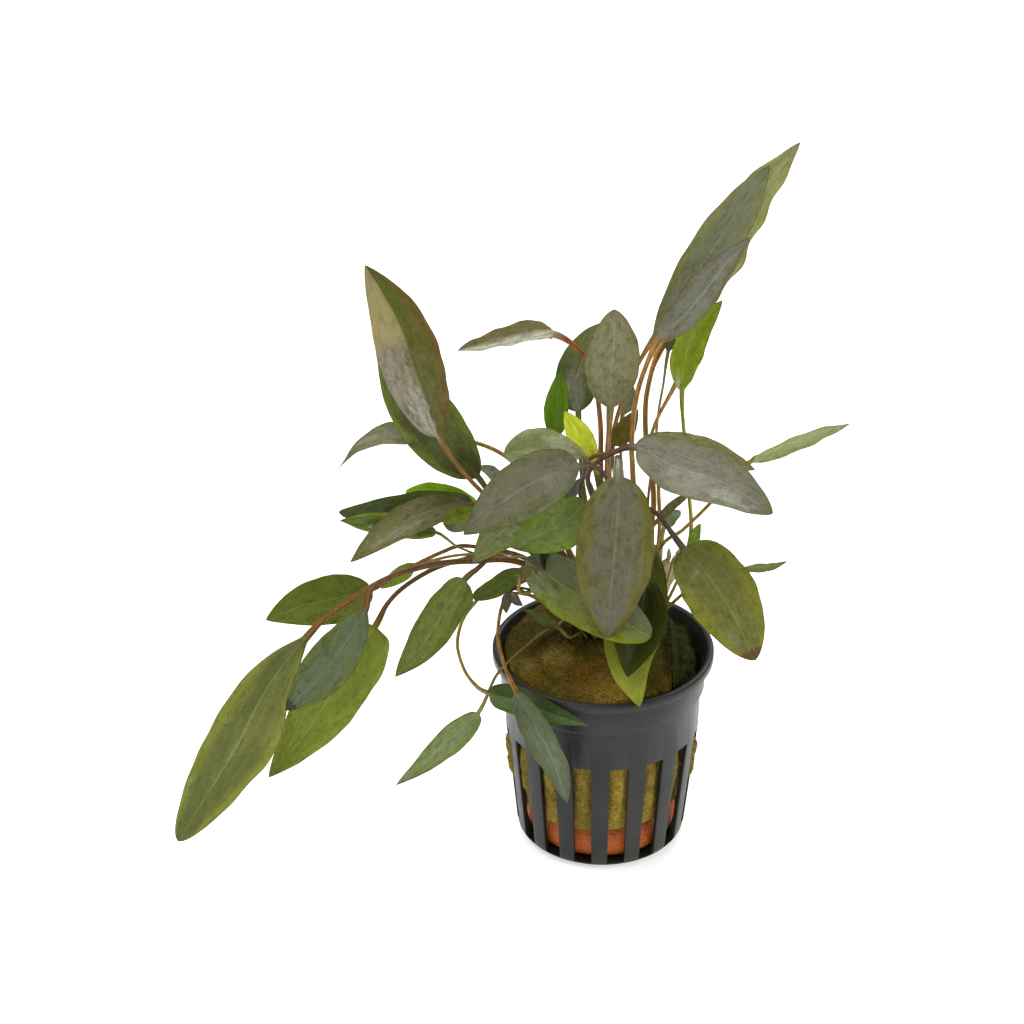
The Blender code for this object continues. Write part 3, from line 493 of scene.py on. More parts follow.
def wool_level(x, y):
    """How high the wool's top lies over its plain sloping plane, with its lumps and hollows."""
    spot = Vector((x, y, 0.0))
    level = noise.noise(spot * 0.13) * 1.0 + noise.noise(spot * 0.42) * 0.35
    level += noise.noise(spot * 1.4 + Vector((7, 3, 1))) * 0.12
    seam = FOLD_LEFT - GAP / 2 - 0.1
    level -= 2.2 * math.exp(-((x - seam) / 1.3) ** 2)
    if x > seam:
        level += 1.1 * math.sin((x - seam) * 1.7)
    return level


def wool_shape(bm):
    """Push the turned block into its place in the pot and give it its lumps and swellings."""
    edge_height = POT_HEIGHT + PLUG_RISE - PLUG_EDGE_DROP
    for vert in bm.verts:
        x, y, z = vert.co / MM
        radius = max(0.001, math.hypot(x, y))
        angle = math.atan2(y, x)
        on_top = smoothstep(LIP_BOTTOM + 1.5, POT_HEIGHT, z)
        slope = PLUG_SLOPE * y * max(0.0, min(1.0, (z - LIP_BOTTOM) / LIP_DEPTH))
        drop = shoulder(angle)
        if z >= edge_height - 0.01:
            z -= drop * smoothstep(18.0, 25.6, radius) ** 1.4
        elif z > SLOT_TOP:
            z = SLOT_TOP + (z - SLOT_TOP) * (1 - drop / (edge_height - SLOT_TOP))
        z += slope + (wool_level(x, y) * 0.8 - 0.3) * on_top
        x += PLUG_SHIFT
        radius = max(0.001, math.hypot(x, y))
        angle = math.atan2(y, x)
        grain = noise.noise(Vector((x, y, z)) * 0.55) * 0.3
        grain += noise.noise(Vector((x, y, z)) * 1.7) * 0.2
        limit = inside_radius(min(z, POT_HEIGHT - 0.3)) - GAP
        keep = min(radius, limit)
        if z < SLOT_TOP and radius > limit - 1.5:
            keep += slot_share(angle, z) * (swell(angle) + WALL * 0.75 + grain * 1.3)
        elif radius > limit - 1.5:
            keep -= (0.25 + grain) * 0.5 + on_top * 0.8 * smoothstep(-0.3, 0.6, math.cos(angle))
        vert.co = Vector((x * keep / radius, y * keep / radius, z)) * MM


def rock_wool(name, dull, warm, gold, dark, mossy):
    """Matted fibre: long fine streaks in every direction over soft stains, with painted shade in
    the hollows; on the plug, painted shade and painted light on the top and painted light in the
    slots.
    """
    finish = Finish(name)
    place = finish.place()
    x, y, z = (part / MM for part in finish.split(place))
    stains = finish.cloud(place, 60, 3, 0.55)
    lumps = finish.cloud(place, 300, 4, 0.6)
    grains = finish.cloud(place, 1700, 3, 0.65)
    warped = finish.node(
        "ShaderNodeTexNoise", None, {"Vector": place, "Scale": 300.0, "Detail": 2.0}, output=1)
    bent = finish.node(
        "ShaderNodeVectorMath", {"operation": "MULTIPLY_ADD"},
        {0: warped, 1: (0.004, 0.004, 0.004), 2: place})
    strands = finish.cloud(finish.stretched(bent, (1.0, 0.2, 0.6)), 2600, 3, 0.6).high(
        finish.cloud(finish.stretched(bent, (0.2, 1.0, 1.0)), 2400, 3, 0.6)).step(0.48, 0.72)

    def near(spot_x, spot_y, reach):
        off_x, off_y = x - spot_x, y - spot_y
        return 1 - ((off_x * off_x + off_y * off_y) ** 0.5 + (lumps - 0.5) * 8).step(
            reach * 0.4, reach)

    top = z.step(POT_HEIGHT - 4.0, POT_HEIGHT - 1.0)
    colour = finish.mix(stains.step(0.40, 0.60), dull, warm)
    colour = finish.mix(lumps.step(0.45, 0.70) * 0.45, colour, gold)
    below = 1 - z.step(SLOT_TOP, SLOT_TOP + 4.0)
    # The hollows of the lumps, which the bump sinks too, are painted dark: painted shade, weaker
    # in the slots.
    colour = finish.mix((1 - lumps.step(0.32, 0.5)) * (0.55 - below * 0.45), colour, dark)
    if mossy:
        moss = finish.cloud(finish.stretched(place, (1, 1, 0.4)), 240, 3, 0.6).step(0.42, 0.62)
        colour = finish.mix(moss * 0.8, colour, (0.022, 0.030, 0.006))
        tufts = finish.cloud(finish.stretched(place, (1, 1, 0.15)), 620, 3, 0.6).step(0.54, 0.68)
        colour = finish.mix(tufts * 0.6, colour, (0.10, 0.13, 0.030))
    else:
        # A patch at the front of the top is painted light golden: painted light, a pool of light
        # between the leaves' shadows.
        bright = near(1.5, -19.5, 6.5) * 0.7 * top
        colour = finish.mix(bright, colour, (0.40, 0.27, 0.040))
        # The back of the top is painted near black: painted shade under the crown of leaves.
        behind = (y + (stains - 0.5) * 26).step(-11.0, 4.0) * top
        colour = finish.mix(behind * 0.85, colour, (0.026, 0.024, 0.004))
        # The right of the top is painted near black too: painted shade under the leaves there.
        beside = (x + (stains - 0.5) * 8).step(5.0, 10.0) * top
        colour = finish.mix(beside * 0.8, colour, (0.030, 0.032, 0.004))
        # Three lighter patches on the top, golden and rust, are partly stain and partly painted
        # light where light falls between the leaves.
        for spot_x, spot_y, reach, share, tone in (
                (-11.5, -6.0, 6.0, 0.7, (0.42, 0.32, 0.070)),
                (-20.5, -9.0, 5.0, 0.6, (0.40, 0.30, 0.075)),
                (-4.0, -15.0, 9.0, 0.45, (0.27, 0.13, 0.020))):
            colour = finish.mix(near(spot_x, spot_y, reach) * top * share, colour, tone)
        # The wool below the slots' tops, seen through the slots, is painted lighter and more even
        # than on the top: painted light where it lies open to the lamps.
        colour = finish.mix(below * 0.5, colour, (0.27, 0.20, 0.045))
        colour = finish.mix(below * stains.step(0.42, 0.6) * 0.45, colour, (0.46, 0.33, 0.050))
    colour = finish.mix(strands * 0.22, colour, gold)
    # Less grit and a lighter grey level in the slots carry the same painted light.
    grit = grains.step(0.32, 0.68) * (0.88 - below * 0.36)
    colour = finish.darken(colour, 0.46 + below * 0.17 + strands * 0.22 + grit)
    return finish.set(
        base_color=colour, roughness=0.82 - stains * 0.2, specular_ior_level=0.06,
        normal=finish.bump(lumps * 0.7 + strands * 0.4 + grains * 0.45, 0.4))


def wool_block(name, material):
    bm = spun(wool_profile(), WOOL_STEPS)
    wool_shape(bm)
    bm.normal_update()
    return add_piece(name, bm, material, math.radians(80))


def wool_box(name, low, high):
    bm = bmesh.new()
    bmesh.ops.create_cube(bm, size=1.0)
    for vert in bm.verts:
        vert.co = Vector([(high if vert.co[i] > 0 else low)[i] for i in range(3)]) * MM
    return add_piece(name, bm, mustard_wool)


def wool_cut(obj, box, operation):
    cut_with(obj, box, operation)
    applied(obj)
    bpy.data.objects.remove(box, do_unlink=True)


mustard_wool = rock_wool(
    "mustard_wool", (0.120, 0.092, 0.012), (0.20, 0.125, 0.014), (0.38, 0.27, 0.045),
    (0.050, 0.034, 0.004), False)
plug = wool_block("wool_plug", mustard_wool)
wool_cut(
    plug, wool_box("room", (FOLD_LEFT - GAP, -40, FOLD_BOTTOM - GAP), (40, 40, 80)),
    "DIFFERENCE")
place_piece(plug, "rockwool", "rockwool_plug")

# Loose rock fibres stand out of the plug's top and of its swellings in the slots. They are short
# bent hairs spun from molten stone, made here as three-sided tapering mesh.
LOOSE_HAIRS = 7000
HAIR_RADIUS = 0.03
HAIR_SIDES = 3
HAIR_CUTS = 2
TUFT = 60


def straight_hair(bm):
    """One hair of unit length along Z, to be copied and bent."""
    bmesh.ops.create_cone(
        bm, cap_ends=True, segments=HAIR_SIDES, radius1=1.0, radius2=0.35, depth=1.0,
        matrix=Matrix.Translation((0.0, 0.0, 0.5)))
    uprights = [e for e in bm.edges if abs(e.verts[0].co.z - e.verts[1].co.z) > 0.5]
    bmesh.ops.subdivide_edges(bm, edges=uprights, cuts=HAIR_CUTS)
    return list(bm.verts) + list(bm.edges) + list(bm.faces)


def copy_hair(bm, pattern, start, heading, bend, length, radius):
    """Lay a copy of the hair from a point, bent sideways along its length."""
    turn = heading.to_track_quat("Z", "Y").to_matrix()
    for vert in bmesh.ops.duplicate(bm, geom=pattern)["geom"]:
        if isinstance(vert, bmesh.types.BMVert):
            x, y, t = vert.co
            flat = turn @ Vector((x * radius, y * radius, 0.0))
            vert.co = start + flat + heading * (length * t) + bend * (length * t * t)


def scatter_hairs(name, base, count, material, seed, choose, length=(0.8, 2.6)):
    """Hairs rooted on a piece's own faces, lying mostly along its surface."""
    rng = random.Random(seed)
    points = [vert.co for vert in base.data.vertices]
    faces = [face for face in base.data.polygons if choose(face.center / MM, face.normal)]
    faces.sort(key=lambda face: by_corners(points[i] for i in face.vertices))
    areas = [face.area for face in faces]
    picks = rng.choices(faces, weights=areas, k=count)
    bm = bmesh.new()
    while picks:
        tuft = bmesh.new()
        pattern = straight_hair(tuft)
        for face in picks[:TUFT]:
            corners = [Vector(corner) for corner in by_corners(points[i] for i in face.vertices)]
            weights = [rng.random() for _ in corners]
            spot = sum((c * w for c, w in zip(corners, weights)), Vector()) / sum(weights)
            normal = face.normal
            loose = Vector([rng.gauss(0, 1) for _ in range(3)])
            flat = (loose - normal * loose.dot(normal)).normalized()
            heading = (flat + normal * rng.uniform(0.05, 0.55)).normalized()
            bend = flat.cross(normal) * rng.uniform(-0.5, 0.5) - normal * rng.uniform(0.1, 0.5)
            copy_hair(
                tuft, pattern, spot - normal * 0.05 * MM, heading, bend,
                rng.uniform(*length) * MM, HAIR_RADIUS * rng.uniform(0.6, 1.3) * MM)
        bmesh.ops.delete(
            tuft, geom=[part for part in pattern if isinstance(part, bmesh.types.BMVert)],
            context="VERTS")
        mesh = bpy.data.meshes.new("tuft")
        tuft.to_mesh(mesh)
        tuft.free()
        bm.from_mesh(mesh)
        bpy.data.meshes.remove(mesh)
        picks = picks[TUFT:]
    return add_piece(name, bm, material)


def fibre_finish(name, dark, light):
    finish = Finish(name)
    place = finish.place()
    shade = finish.cloud(place, 380, 3, 0.6).step(0.35, 0.65)
    return finish.set(
        base_color=finish.mix(shade, dark, light), roughness=0.6, specular_ior_level=0.1)


def hair_ground(spot, normal):
    """The places where hairs show: the top, and the swellings in the slots."""
    if spot.z > POT_HEIGHT - 1.5:
        return normal.z > 0.2
    return slot_share(math.atan2(spot.y, spot.x), spot.z) > 0.3 and normal.z < 0.6


loose_fibre = fibre_finish("loose_fibre", (0.070, 0.048, 0.005), (0.26, 0.175, 0.025))
wool_hairs = scatter_hairs(
    "wool_hairs", plug, LOOSE_HAIRS, loose_fibre, seed=11, choose=hair_ground)
place_piece(wool_hairs, "rockwool")

# The fold is a second scrap of the same wool pressed in beside the plug at the right, overgrown
# with dark moss, with grassy strands hanging over its edge.
MOSS_STRANDS = 1500
mossy_wool = rock_wool(
    "mossy_wool", (0.026, 0.026, 0.007), (0.070, 0.056, 0.012), (0.085, 0.100, 0.020),
    (0.008, 0.009, 0.003), True)
fold_scrap = wool_block("wool_fold", mossy_wool)
wool_cut(fold_scrap, wool_box("kept", (FOLD_LEFT, -40, FOLD_BOTTOM), (40, 40, 80)), "INTERSECT")
place_piece(fold_scrap, "mossy_rockwool", "rockwool_fold")

moss_strand = fibre_finish("moss_strand", (0.030, 0.042, 0.010), (0.115, 0.150, 0.030))
moss_strands = scatter_hairs(
    "moss_strands", fold_scrap, MOSS_STRANDS, moss_strand, seed=23, length=(1.2, 4.2),
    choose=lambda spot, normal: normal.z > 0.3 and spot.z > POT_HEIGHT - 3)
place_piece(moss_strands, "mossy_rockwool")

# Each leaf is one soft, wet growth, a round petiole that flattens into a lance-shaped blade with
# a midrib and curved parallel veins, in parts stained brown. All rise from the crown in the
# wool. These are the tall ones at the upper right.
VIEW_SIDE = Vector((0.0, -0.87, 0.5))
CROWN_LIFT = 0.9
ROOT_DEPTH = 2.4
PATH_STEPS = 16
STEM_RING = 1.3
BLADE_RINGS = 84
LEAF_SIDES = 36
SIDE_CROWDING = 1.45
PETIOLE_ROOT = 0.65
PETIOLE_NECK = 0.5
PETIOLE_SWAY = 0.25
NECK_LENGTH = 8
BLADE_START = 0.09
BLADE_HALF_THICKNESS = 0.2
MARGIN_HALF_THICKNESS = 0.05
LEAST_HALF_WIDTH = 0.07
RAGGEDNESS = 0.05
KEEL_ROUNDING = 0.02
KEEL_FLOOR = 0.141
KEEL_GAIN = 1.12
RIB_HALF_WIDTH = 0.55
RIB_DEPTH = 0.34
GROOVE_DEPTH = 0.10
LEAF_LIGHT = 0.85
LEAF_VEIL = 0.012
RUSSET = (142, 100, 44)
BARK = (90, 66, 32)
STRAW = (142, 128, 62)
OCHRE = (130, 104, 48)
REED = (94, 108, 38)
LEAF_MARKS = ("across", "along", "stem", "above", "edge")
leaf_count = 0


def paint(red, green, blue):
    """A wet leaf's colour as eight-bit screen values, less the veil of light lying on it."""
    linear = []
    for part in (red, green, blue):
        level = part / 255
        level = level / 12.92 if level <= 0.04045 else ((level + 0.055) / 1.055) ** 2.4
        linear.append(max(0.001, (level - LEAF_VEIL) / LEAF_LIGHT))
    return tuple(linear)


def toned(colour, gain, lift=0.0):
    return tuple(part * gain + lift for part in colour)


def leaf_skin(name, seed, middle, margin, stalk=OCHRE, other=None, soft=0.0, tip=None,
              worn_from=0.9, stain=0.5, rib=0.3, bands=3.4, gloom=0.0, gloss=0.7, shine=None):
    """A blade's colours follow its own lines: across from -1 to 1, along from neck to tip.

    The middle is veiled with grey, a painted reflection of the white room, and the margins are
    purer. other is a second colour on one half of the fold, painted sheen on a half turned to the
    lamps and painted shade on one turned away; tip is a worn colour towards the tip; shine gives
    the middle (along, across), the reach and the strength of a painted sheen, the reflection on a
    wet film; and gloom says how much darker the blade is painted towards its neck, as painted
    shade.
    """
    finish = Finish(name)
    place = finish.place()
    across, along, stem, above, edge = (finish.attribute(mark) for mark in LEAF_MARKS)
    inner, outer, stalk = paint(*middle), paint(*margin), paint(*stalk)
    out = abs(across)
    grid = finish.vector(across + seed * 3.7, along * 2.6, seed * 1.3)
    wide = finish.cloud(grid, 1.6, 3, 0.55)
    blots = finish.cloud(grid, 4.6, 5, 0.68)
    specks = finish.cloud(grid, 34, 3, 0.7)
    creases = finish.cloud(finish.vector(across * 4 + seed, along * 44, seed), 1.0, 3, 0.6)
    lines = finish.cloud(finish.vector(across * 40, along * 4 + seed, out * 2), 1.0, 3, 0.6)
    cells = finish.cloud(place, 900, 3, 0.6)
    flow = (out * bands + (wide - 0.5) * 0.10).fract()
    veins = 1 - abs(flow - 0.5).step(0.02, 0.09)
    veins = veins * out.step(0.10, 0.2) * (1 - out.step(0.86, 0.95)) * along.step(0.02, 0.2)
    midrib = 1 - out.step(0.010, 0.060)

    # Away from the margins the blade keeps its middle colour, greyed by a painted reflection of
    # the white room; the margins show the purer colour.
    bare = (out + (wide - 0.5) * 1.2).step(0.42, 0.92)
    colour = finish.mix(bare, inner, outer)
    # One half of the fold takes the other colour: painted sheen where that half turns to the
    # lamps, painted shade where it turns away.
    if other:
        half = (across + (wide - 0.5) * 0.2 + soft * 0.6).step(-0.06 - soft, 0.06 + soft)
        colour = finish.mix(half, colour, paint(*other))
    deep = tuple(part * fade for part, fade in zip(outer, (0.55, 0.66, 0.30)))
    # Large patches in the middle take the purer margin colour where the painted grey veil gives
    # way.
    colour = finish.mix(wide.step(0.46, 0.66) * (1 - bare) * stain * 0.8, colour, outer)
    algae = blots.step(0.48, 0.62) * specks.step(0.44, 0.58)
    colour = finish.mix(algae * stain, colour, deep)
    wrinkles = (1 - abs(creases - 0.5).step(0.0, 0.035)) * (blots + wide).step(0.98, 1.16)
    colour = finish.mix(wrinkles * stain * 0.8, colour, paint(70, 62, 40))
    colour = finish.darken(colour, 0.73 + lines * 0.54)
    colour = finish.darken(colour, 0.70 + cells * 0.60)
    # The blade is painted darker towards its neck: painted shade near the crown.
    colour = finish.darken(colour, 1 - (1 - along.step(0.0, 0.85)) * gloom)
    pale = toned(inner, 1.3, 0.04)
    colour = finish.mix(veins * 0.20, colour, pale)
    # A pale broken streak along the midrib: partly the rib's own paler colour, partly a painted
    # highlight.
    glint = midrib * (blots * 0.7 + wide * 0.6).step(0.35, 0.85)
    colour = finish.mix(glint * rib, colour, toned(pale, 1.5, 0.05))
    rim = (1 - edge.step(0.06, 0.24)) * (0.25 + wide * 0.6)
    colour = finish.mix(rim, colour, paint(84, 62, 34))
    if tip:
        worn = (along + (blots - 0.5) * 0.16).step(worn_from, worn_from * 0.75 + 0.25)
        worn = worn * (half if other else 1)
        colour = finish.mix(worn * 0.85, colour, paint(*tip))
    # A whitish, broken patch is painted on: a painted sheen, the reflection of light on a wet
    # film.
    if shine:
        spot_along, spot_across, reach, strength = shine
        off = ((along - spot_along) * 2.6) ** 2 + (across - spot_across) ** 2
        film = 1 - (off ** 0.5 + (blots - 0.5) * 0.8).step(reach * 0.5, reach)
        film = film * (0.15 + lines.step(0.5, 0.7) * 0.35 + specks.step(0.52, 0.6) * 0.5)
        colour = finish.mix(film * strength, colour, paint(214, 214, 200))
    under = (1 - above.step(-0.2, 0.2)) * 0.5
    colour = finish.mix(under, colour, toned(outer, 0.9, 0.03))

    stripes = finish.cloud(finish.stretched(place, (1, 1, 0.3)), 1100, 3, 0.6)
    groove = 1 - abs(out - 0.62).step(0.05, 0.3)
    film = finish.cloud(place, 75, 3, 0.5).step(0.5, 0.66)
    bark = finish.mix(stripes.step(0.35, 0.68), toned(stalk, 0.75), toned(stalk, 1.45))
    bark = finish.mix(film * 0.5, bark, paint(96, 92, 48))
    bark = finish.darken(bark, 1 - groove * 0.35)
    # A pale line down the middle of the stalk's upper side: partly its groove's own colour, partly
    # a painted highlight.
    channel = (1 - out.step(0.08, 0.42)) * above.step(0.2, 0.7)
    bark = finish.mix(channel * 0.45, bark, toned(stalk, 1.9))
    colour = finish.mix(stem, colour, bark)
    rough = 0.20 + (1 - gloss) * 0.25 + blots * 0.18 + cells * 0.16
    height = lines * 0.6 - veins * 0.3 - midrib * 0.2 + cells * 0.45
    height = height + algae * 0.25 - wrinkles * 0.3
    return finish.set(
        base_color=colour, roughness=rough, specular_ior_level=0.12 + 0.2 * gloss,
        coat_weight=(0.06 + (1 - bare) * wide.step(0.4, 0.6) * 0.5) * gloss,
        coat_roughness=0.14, normal=finish.bump(height, 0.2))


def smooth_path(points):
    """A smooth curve through the points, as a list of close points with their lengths."""
    ends = [2 * points[0] - points[1], *points, 2 * points[-1] - points[-2]]
    path = [points[0].copy()]
    for before, here, there, after in zip(ends, ends[1:], ends[2:], ends[3:]):
        for i in range(1, PATH_STEPS + 1):
            t = i / PATH_STEPS
            path.append(0.5 * (
                2 * here + (there - before) * t
                + (2 * before - 5 * here + 4 * there - after) * t ** 2
                + (3 * here - before - 3 * there + after) * t ** 3))
    lengths = [0.0]
    for here, there in zip(path, path[1:]):
        lengths.append(lengths[-1] + (there - here).length)
    return path, lengths


def at_length(path, lengths, length):
    """The point and the softened direction of a path at a length along it."""
    i = 0
    while i < len(path) - 2 and lengths[i + 1] < length:
        i += 1
    share = (length - lengths[i]) / (lengths[i + 1] - lengths[i])
    point = path[i] + (path[i + 1] - path[i]) * share
    low = max(0, i - 2)
    high = min(len(path) - 1, i + 3)
    return point, (path[high] - path[low]).normalized()


def blade_shape(t, belly, heel, toe):
    """How wide the blade is, as a share of its full width, t of the way from neck to tip."""
    bend = math.log(0.5) / math.log(belly)
    return max(0.0, math.sin(math.pi * min(1.0, t) ** bend)) ** (heel if t < belly else toe)


def grow(name, root, petiole, blade, width, middle, margin, turn=0.0, fold=14.0, belly=0.42,
         heel=0.8, toe=0.8, swells=(), face=VIEW_SIDE, thick=1.0, wave=0.05, ripples=3.0, fade=3.0,
         flare=0.55, **looks):
    """One leaf, from its root in the crown through its petiole's points and its blade's.

    The points are counted from the middle of the pot's lip. The blade is widest at belly, and
    heel and toe say how blunt its ends are; swells are the bulges of a margin: its side, where
    along, how long and how deep.
    """
    global leaf_count
    leaf_count += 1
    seed = leaf_count * 1.37
    lip = Vector((0.0, 0.0, POT_HEIGHT))
    crown = Vector((
        root[0], root[1], POT_HEIGHT + PLUG_RISE + PLUG_SLOPE * root[1] + CROWN_LIFT))
    stem = [crown - Vector((0.0, 0.0, ROOT_DEPTH)), crown] + [lip + Vector(p) for p in petiole]
    path, lengths = smooth_path(stem + [lip + Vector(p) for p in blade])
    neck = lengths[PATH_STEPS * len(stem)]
    whole = lengths[-1]
    stem_rings = max(8, round(neck / STEM_RING))
    rings = stem_rings + BLADE_RINGS

    bm = bmesh.new()
    bmesh.ops.create_cone(
        bm, cap_ends=True, segments=LEAF_SIDES, radius1=1.0, radius2=1.0, depth=1.0)
    uprights = [e for e in bm.edges if abs(e.verts[0].co.z - e.verts[1].co.z) > 0.5]
    bmesh.ops.subdivide_edges(bm, edges=uprights, cuts=rings - 1)
    marks = [bm.verts.layers.float.new(mark) for mark in LEAF_MARKS]

    stations = []
    for ring in range(rings + 1):
        along = max(0.0, (ring - stem_rings) / BLADE_RINGS)
        length = neck * min(1.0, ring / stem_rings) + (whole - neck) * along
        centre, heading = at_length(path, lengths, length)
        upper = (face - heading * face.dot(heading)).normalized()
        upper = Matrix.Rotation(math.radians(turn), 3, heading) @ upper
        toward_neck = min(1.0, length / neck)
        radius = (PETIOLE_ROOT + (PETIOLE_NECK - PETIOLE_ROOT) * toward_neck) * thick
        stations.append((along, centre, upper, upper.cross(heading), radius, length))

    slope = math.tan(math.radians(fold))
    for vert in bm.verts:
        along, centre, upper, side, radius, length = stations[round((vert.co.z + 0.5) * rings)]
        x, y = vert.co.x, vert.co.y
        flat = smoothstep(0.0, BLADE_START, along)
        across = x * (1 - flat) + math.copysign(abs(x) ** SIDE_CROWDING, x) * flat
        out = abs(across)
        near_blade = smoothstep(neck - NECK_LENGTH, neck, length)
        radius *= 1 + flare * near_blade
        spare = radius * (1 - along) ** 6
        half_width = math.hypot(spare, width / 2 * blade_shape(along, belly, heel, toe))
        half_width = max(LEAST_HALF_WIDTH, half_width) if along else radius
        if along:
            ragged = noise.noise(Vector((along * 9, seed, math.copysign(2.0, x))))
            half_width *= 1 + ragged * RAGGEDNESS * flat
            half_width += sum(
                size * math.exp(-((along - middle_at) / spread) ** 2)
                for hand, middle_at, spread, size in swells if hand * x > 0)
        middle_half = BLADE_HALF_THICKNESS + max(0.0, radius - BLADE_HALF_THICKNESS) * (
            1 - along) ** 8
        half_thick = middle_half + (MARGIN_HALF_THICKNESS - middle_half) * flat * out ** 0.5
        half_thick *= 1 - 0.6 * along ** 3
        keel = math.sqrt(out * out + KEEL_ROUNDING) - KEEL_FLOOR
        lift = slope * half_width * keel * KEEL_GAIN * flat
        beat = math.sin(math.tau * ripples * along + seed * (1 if x > 0 else 2.3))
        lift += wave * half_width * out ** 2.2 * beat * smoothstep(0.05, 0.3, along)
        quilt = Vector((across * half_width, length, seed * 5))
        lift += (noise.noise(quilt * 0.16) * 0.35 + noise.noise(quilt * 0.5) * 0.08) * flat
        rib_room = math.exp(-(across * half_width / RIB_HALF_WIDTH) ** 2)
        lift -= (GROOVE_DEPTH if y > 0 else RIB_DEPTH) * (rib_room * flat * (1 - along) ** 0.6)
        sway = Vector((noise.noise(Vector((length * 0.09, seed, 1.0))), 0.0,
                       noise.noise(Vector((length * 0.09, seed, 5.0))))) * PETIOLE_SWAY
        sway *= 1 - near_blade
        place = centre + sway + side * (half_width * across) + upper * (half_thick * y + lift)
        vert.co = place * MM
        in_stem = 1 - smoothstep(neck - fade, neck + 2, length)
        edge = (1 - out) * half_width + (1 - flat) * 2
        for mark, value in zip(marks, (across, along, in_stem, y, edge)):
            vert[mark] = value
    bmesh.ops.recalc_face_normals(bm, faces=bm.faces)
    skin = leaf_skin(name.replace("leaf", "skin"), seed, middle, margin, **looks)
    return add_piece(name, bm, skin, math.radians(75))


def leaf(name, slot, *shape, **looks):
    """A leaf that stands for its own solid in the frame."""
    place_piece(grow(name + "_leaf", *shape, **looks), slot + "_leaf", "leaf_" + name)


leaf("tall_back", "yellow", (9.4, 13.4),
     [(11, 16.5, 20), (12.5, 17.5, 31.5), (10, 19, 52), (11, 22, 62)],
     [(14.5, 27.5, 70), (26, 34, 86.7), (35.5, 38, 102.3), (47, 42, 117)],
     12, (134, 133, 89), (138, 141, 79), thick=1.2, belly=0.5, heel=0.55, turn=-25, wave=0.2,
     ripples=5.0, swells=[(-1, 0.35, 0.2, 1.0)], stalk=(150, 104, 50), stain=0.4, gloss=0.5)
leaf("big_right", "grey_green", (3.8, 15.2),
     [(1.5, 17, 37.5), (2, 17, 48.5), (4, 17.5, 58.5), (7.5, 18, 68)],
     [(12, 19, 76.5), (21, 22, 90.5), (31, 27, 105), (39, 33, 115)],
     11.5, (108, 113, 86), (118, 119, 70), belly=0.52, heel=0.6, turn=10, wave=0.08, ripples=4,
     stalk=(150, 108, 56), stain=0.35)
leaf("mauve_right", "mauve", (8.2, 11),
     [(7, 10.5, 41), (6.5, 10.5, 52.5), (7.5, 11, 64), (9.5, 11.5, 72)],
     [(13, 12.5, 79), (19.5, 13, 86), (26, 14, 95), (33.5, 16, 104)],
     8.5, (113, 113, 98), (106, 106, 80), thick=1.2, heel=0.45, turn=-20, stalk=(170, 125, 60),
     rib=0.55)
leaf("bright_right", "vivid", (13.4, 12.6),
     [(21.5, 16, 20), (21, 18, 37), (19.5, 20, 50)],
     [(19, 22, 60), (19.5, 23, 68), (22.5, 25, 75), (28.5, 27, 82)],
     8, (118, 136, 32), (130, 150, 37), thick=0.85, heel=0.75, turn=15, stalk=(136, 142, 50),
     stain=0.15, rib=0.5, gloss=0.4, shine=(0.06, 0.6, 0.4, 0.9))
leaf("behind_bright", "olive", (12, 14.6),
     [(14, 16, 20.5), (13.5, 19.5, 36), (11.5, 20, 45.5), (12.5, 22, 50), (15, 25, 54.5)],
     [(18, 27.5, 59.5), (19.5, 28.5, 63.5), (21, 29.5, 67.5), (22.5, 30.5, 71.5)],
     4, (104, 106, 60), (104, 106, 60), thick=0.85, heel=0.6, stalk=(166, 130, 66))
leaf("behind_mauve", "olive", (9.8, 16.4),
     [(11.5, 20, 33), (13, 23, 46), (14, 24, 57.5)],
     [(15.5, 25, 69), (16, 25.2, 71), (16.5, 25.4, 73.5), (17, 25.6, 75.5)],
     2.5, (104, 106, 60), (104, 106, 60), thick=0.6, stalk=STRAW)
leaf("far_right", "sage", (12, 8.4),
     [(13.5, 7, 23), (19.5, 9, 28), (25, 11, 33), (32.5, 14, 40.5)],
     [(36.5, 17, 43), (45, 19, 46), (53, 22, 48), (61, 25, 49)],
     6, (140, 150, 98), (124, 141, 61), thick=0.8, heel=0.5, turn=50, stalk=(142, 112, 56),
     stain=0.2, gloss=0.5)
leaf("narrow_right", "olive", (14.2, 8.6),
     [(20.5, 6, 12), (28.5, 11, 14.5)],
     [(34.5, 14, 13.5), (38.5, 15, 13.5), (42.5, 16.5, 13), (46.5, 18, 13.5)],
     3, (112, 116, 48), (104, 104, 44), thick=0.7, turn=40, stalk=STRAW, tip=(104, 74, 40))

